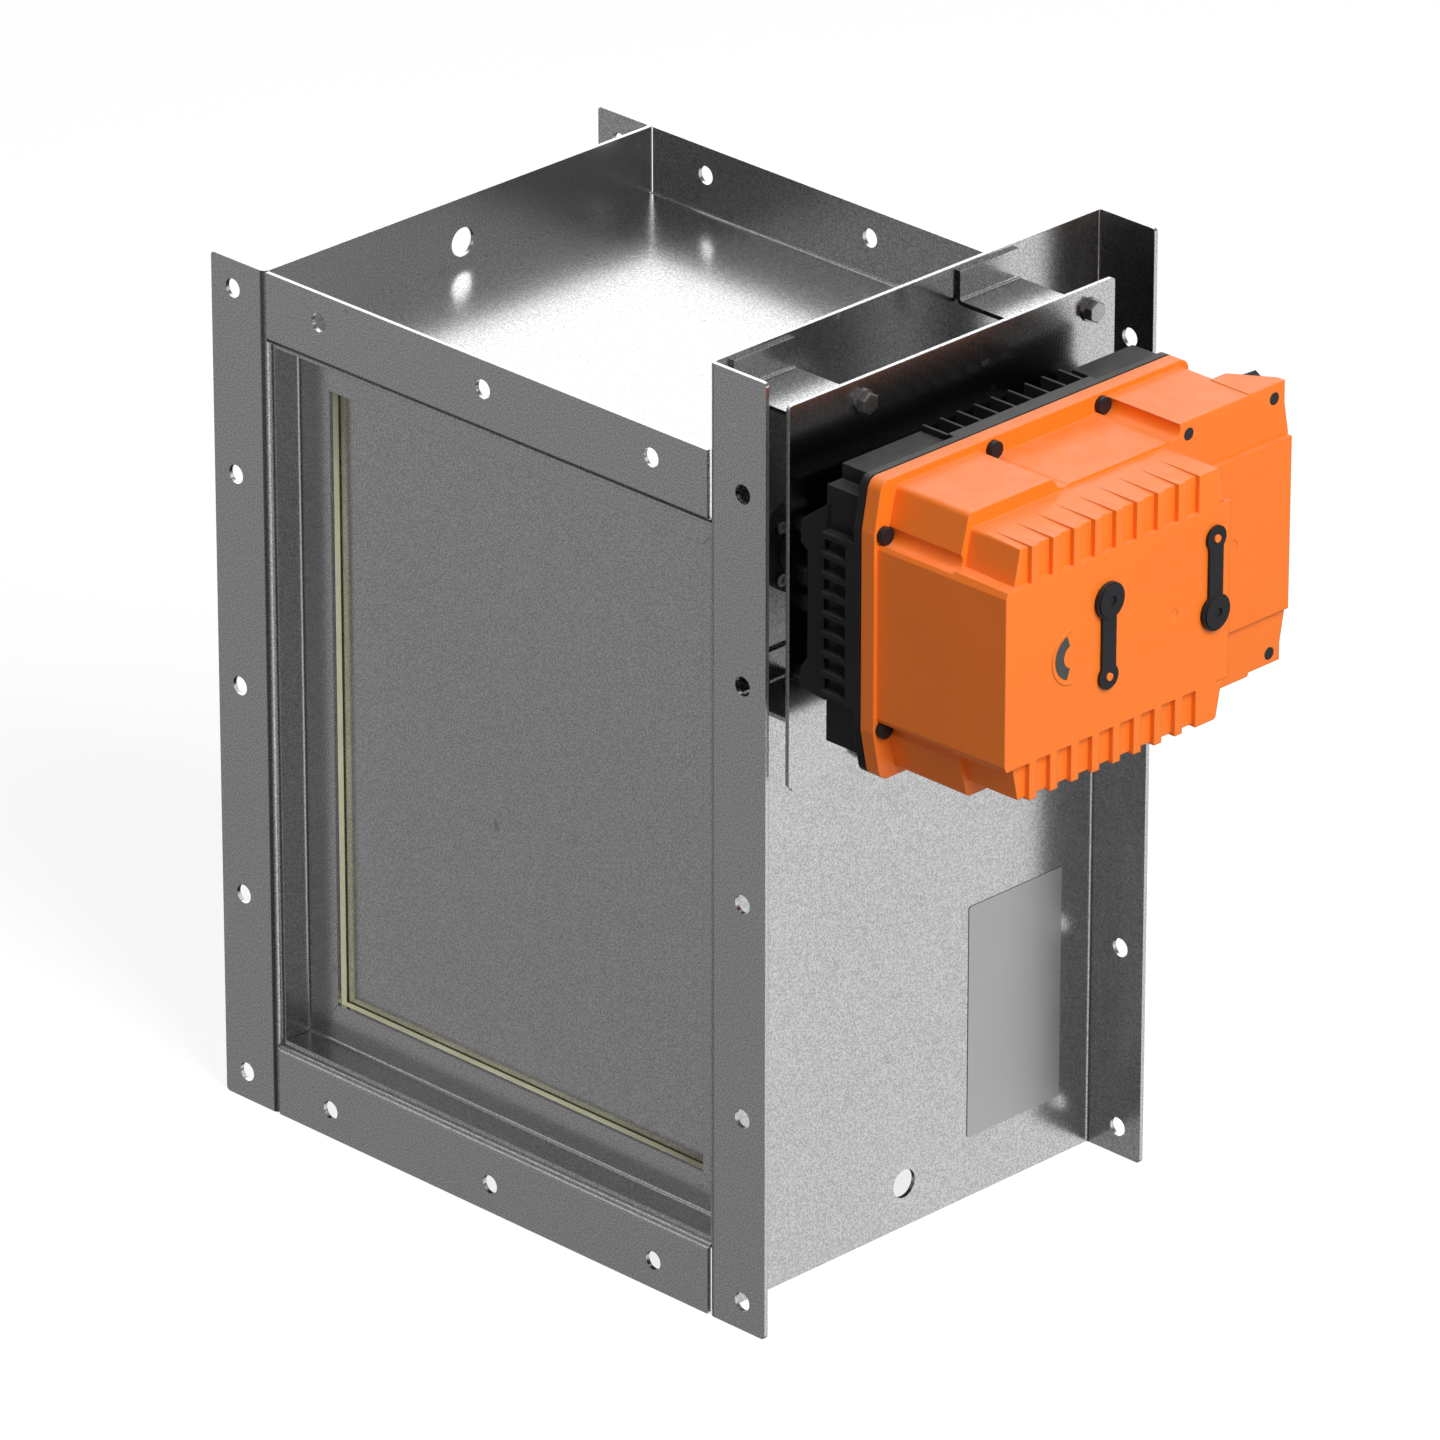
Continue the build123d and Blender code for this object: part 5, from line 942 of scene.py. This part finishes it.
class DAMPER_OT_seal_strips(FinishOperator, bpy.types.Operator):
    """Makes the four foam strips behind the stop frame"""

    bl_idname = "damper.seal_strips"
    bl_label = "Seal strips"

    def execute(self, context):
        sizes = context.scene.damper_sizes
        material = foam_material(context.scene.damper_colours)
        for side in ("left", "right", "top", "bottom"):
            seal_strip(side, material, sizes.seal_lip, sizes.smoothness)
        return {"FINISHED"}


class DAMPER_OT_fasteners(FinishOperator, bpy.types.Operator):
    """Finishes the zinc-plated bolts, nuts, washers and screws, and threads the studs"""

    bl_idname = "damper.fasteners"
    bl_label = "Fasteners"

    def execute(self, context):
        material = fastener_material()
        finish_slot("zinc_fastener", material)
        stud_threads(material, context.scene.damper_sizes.thread_pitch)
        return {"FINISHED"}


class DAMPER_OT_bearings(FinishOperator, bpy.types.Operator):
    """Finishes the bearing housings and their bronze bushes"""

    bl_idname = "damper.bearings"
    bl_label = "Bearings"

    def execute(self, context):
        finish_slot("bearing_casting", casting_material())
        finish_slot("bronze", machined_material(
            "Bronze finish", light=(0.62, 0.38, 0.16), dark=(0.42, 0.24, 0.09),
            smooth=0.22, rough=0.38))
        return {"FINISHED"}


class DAMPER_OT_drive(FinishOperator, bpy.types.Operator):
    """Finishes the shaft, the clamp, the gears, the motor and the actuator's feet"""

    bl_idname = "damper.drive"
    bl_label = "Shaft and gears"

    def execute(self, context):
        finish_slot("bright_steel", machined_material(
            "Bright steel finish", light=(0.66, 0.66, 0.66), dark=(0.46, 0.46, 0.47),
            smooth=0.16, rough=0.30))
        finish_slot("motor_can", machined_material(
            "Motor can finish", light=(0.52, 0.52, 0.54), dark=(0.38, 0.38, 0.40),
            smooth=0.28, rough=0.42, stretch=DRAWN))
        finish_node("foot_spacers", machined_material(
            "Blackened steel finish", light=(0.05, 0.05, 0.05), dark=(0.03, 0.03, 0.03),
            smooth=0.34, rough=0.46))
        return {"FINISHED"}


class DAMPER_OT_actuator_base(FinishOperator, bpy.types.Operator):
    """Finishes the black finned base of the actuator"""

    bl_idname = "damper.actuator_base"
    bl_label = "Actuator base"

    def execute(self, context):
        colours = context.scene.damper_colours
        finish_slot("black_housing", moulded_black_material(
            "Actuator base finish", colours.housing, HOUSING_EDGE,
            smooth=0.34, rough=0.48, dust_amount=0.25))
        return {"FINISHED"}


class DAMPER_OT_actuator_cover(FinishOperator, bpy.types.Operator):
    """Finishes the orange cover of the actuator and its window"""

    bl_idname = "damper.actuator_cover"
    bl_label = "Actuator cover"

    def execute(self, context):
        finish_slot("orange_cover", cover_material(context.scene.damper_colours))
        finish_slot("smoked_window", window_material())
        return {"FINISHED"}


class DAMPER_OT_rubber_parts(FinishOperator, bpy.types.Operator):
    """Finishes the rubber plugs, the cover gasket and the small black plastic pieces"""

    bl_idname = "damper.rubber_parts"
    bl_label = "Rubber and small plastic"

    def execute(self, context):
        colours = context.scene.damper_colours
        finish_slot("black_rubber", moulded_black_material(
            "Black rubber finish", colours.rubber, RUBBER_EDGE,
            smooth=0.48, rough=0.62, dust_amount=0.15))
        finish_slot("black_plastic", moulded_black_material(
            "Black plastic finish", colours.rubber, SMALL_PLASTIC_EDGE,
            smooth=0.30, rough=0.42, dust_amount=0.1))
        return {"FINISHED"}


class DAMPER_OT_electrical_parts(FinishOperator, bpy.types.Operator):
    """Finishes the circuit board"""

    bl_idname = "damper.electrical_parts"
    bl_label = "Circuit board"

    def execute(self, context):
        finish_slot("board", board_material())
        return {"FINISHED"}


class DAMPER_OT_studio(FinishOperator, bpy.types.Operator):
    """Makes the floor, the lamp, the studio light and the camera"""

    bl_idname = "damper.studio"
    bl_label = "Studio"

    def execute(self, context):
        studio = context.scene.damper_studio
        make_floor()
        make_key_lamp(studio.key_power)
        make_world(studio)
        make_camera()
        context.scene.view_settings.view_transform = "Standard"
        return {"FINISHED"}


# Panel and registration

class DAMPER_PT_pieces(bpy.types.Panel):
    """Sidebar panel with the settings and the steps."""

    bl_label = "Isolation damper"
    bl_space_type = "VIEW_3D"
    bl_region_type = "UI"
    bl_category = "Damper"

    def draw(self, context):
        scene = context.scene
        for settings in (scene.damper_colours, scene.damper_sizes, scene.damper_studio):
            box = self.layout.box()
            for name in settings.bl_rna.properties.keys():
                if name not in ("rna_type", "name"):
                    box.prop(settings, name)
        for step in STEPS:
            self.layout.operator(step.bl_idname)


SETTINGS = {
    "damper_colours": DamperColours,
    "damper_sizes": DamperSizes,
    "damper_studio": DamperStudio,
}
STEPS = (
    DAMPER_OT_shared_effects,
    DAMPER_OT_sheet_metal,
    DAMPER_OT_label_plate,
    DAMPER_OT_seal_strips,
    DAMPER_OT_fasteners,
    DAMPER_OT_bearings,
    DAMPER_OT_drive,
    DAMPER_OT_actuator_base,
    DAMPER_OT_actuator_cover,
    DAMPER_OT_rubber_parts,
    DAMPER_OT_electrical_parts,
    DAMPER_OT_studio,
)


def register():
    """Registers the settings, the steps and the panel."""
    for name, settings in SETTINGS.items():
        bpy.utils.register_class(settings)
        setattr(bpy.types.Scene, name, PointerProperty(type=settings))
    for step in STEPS:
        bpy.utils.register_class(step)
    bpy.utils.register_class(DAMPER_PT_pieces)


def unregister():
    """Takes the panel, the steps and the settings away again."""
    bpy.utils.unregister_class(DAMPER_PT_pieces)
    for step in reversed(STEPS):
        bpy.utils.unregister_class(step)
    for name, settings in SETTINGS.items():
        delattr(bpy.types.Scene, name)
        bpy.utils.unregister_class(settings)


def main():
    """Registers everything and runs the steps in order."""
    register()
    for step in STEPS:
        family, name = step.bl_idname.split(".")
        getattr(getattr(bpy.ops, family), name)()


if __name__ == "__main__":
    main()
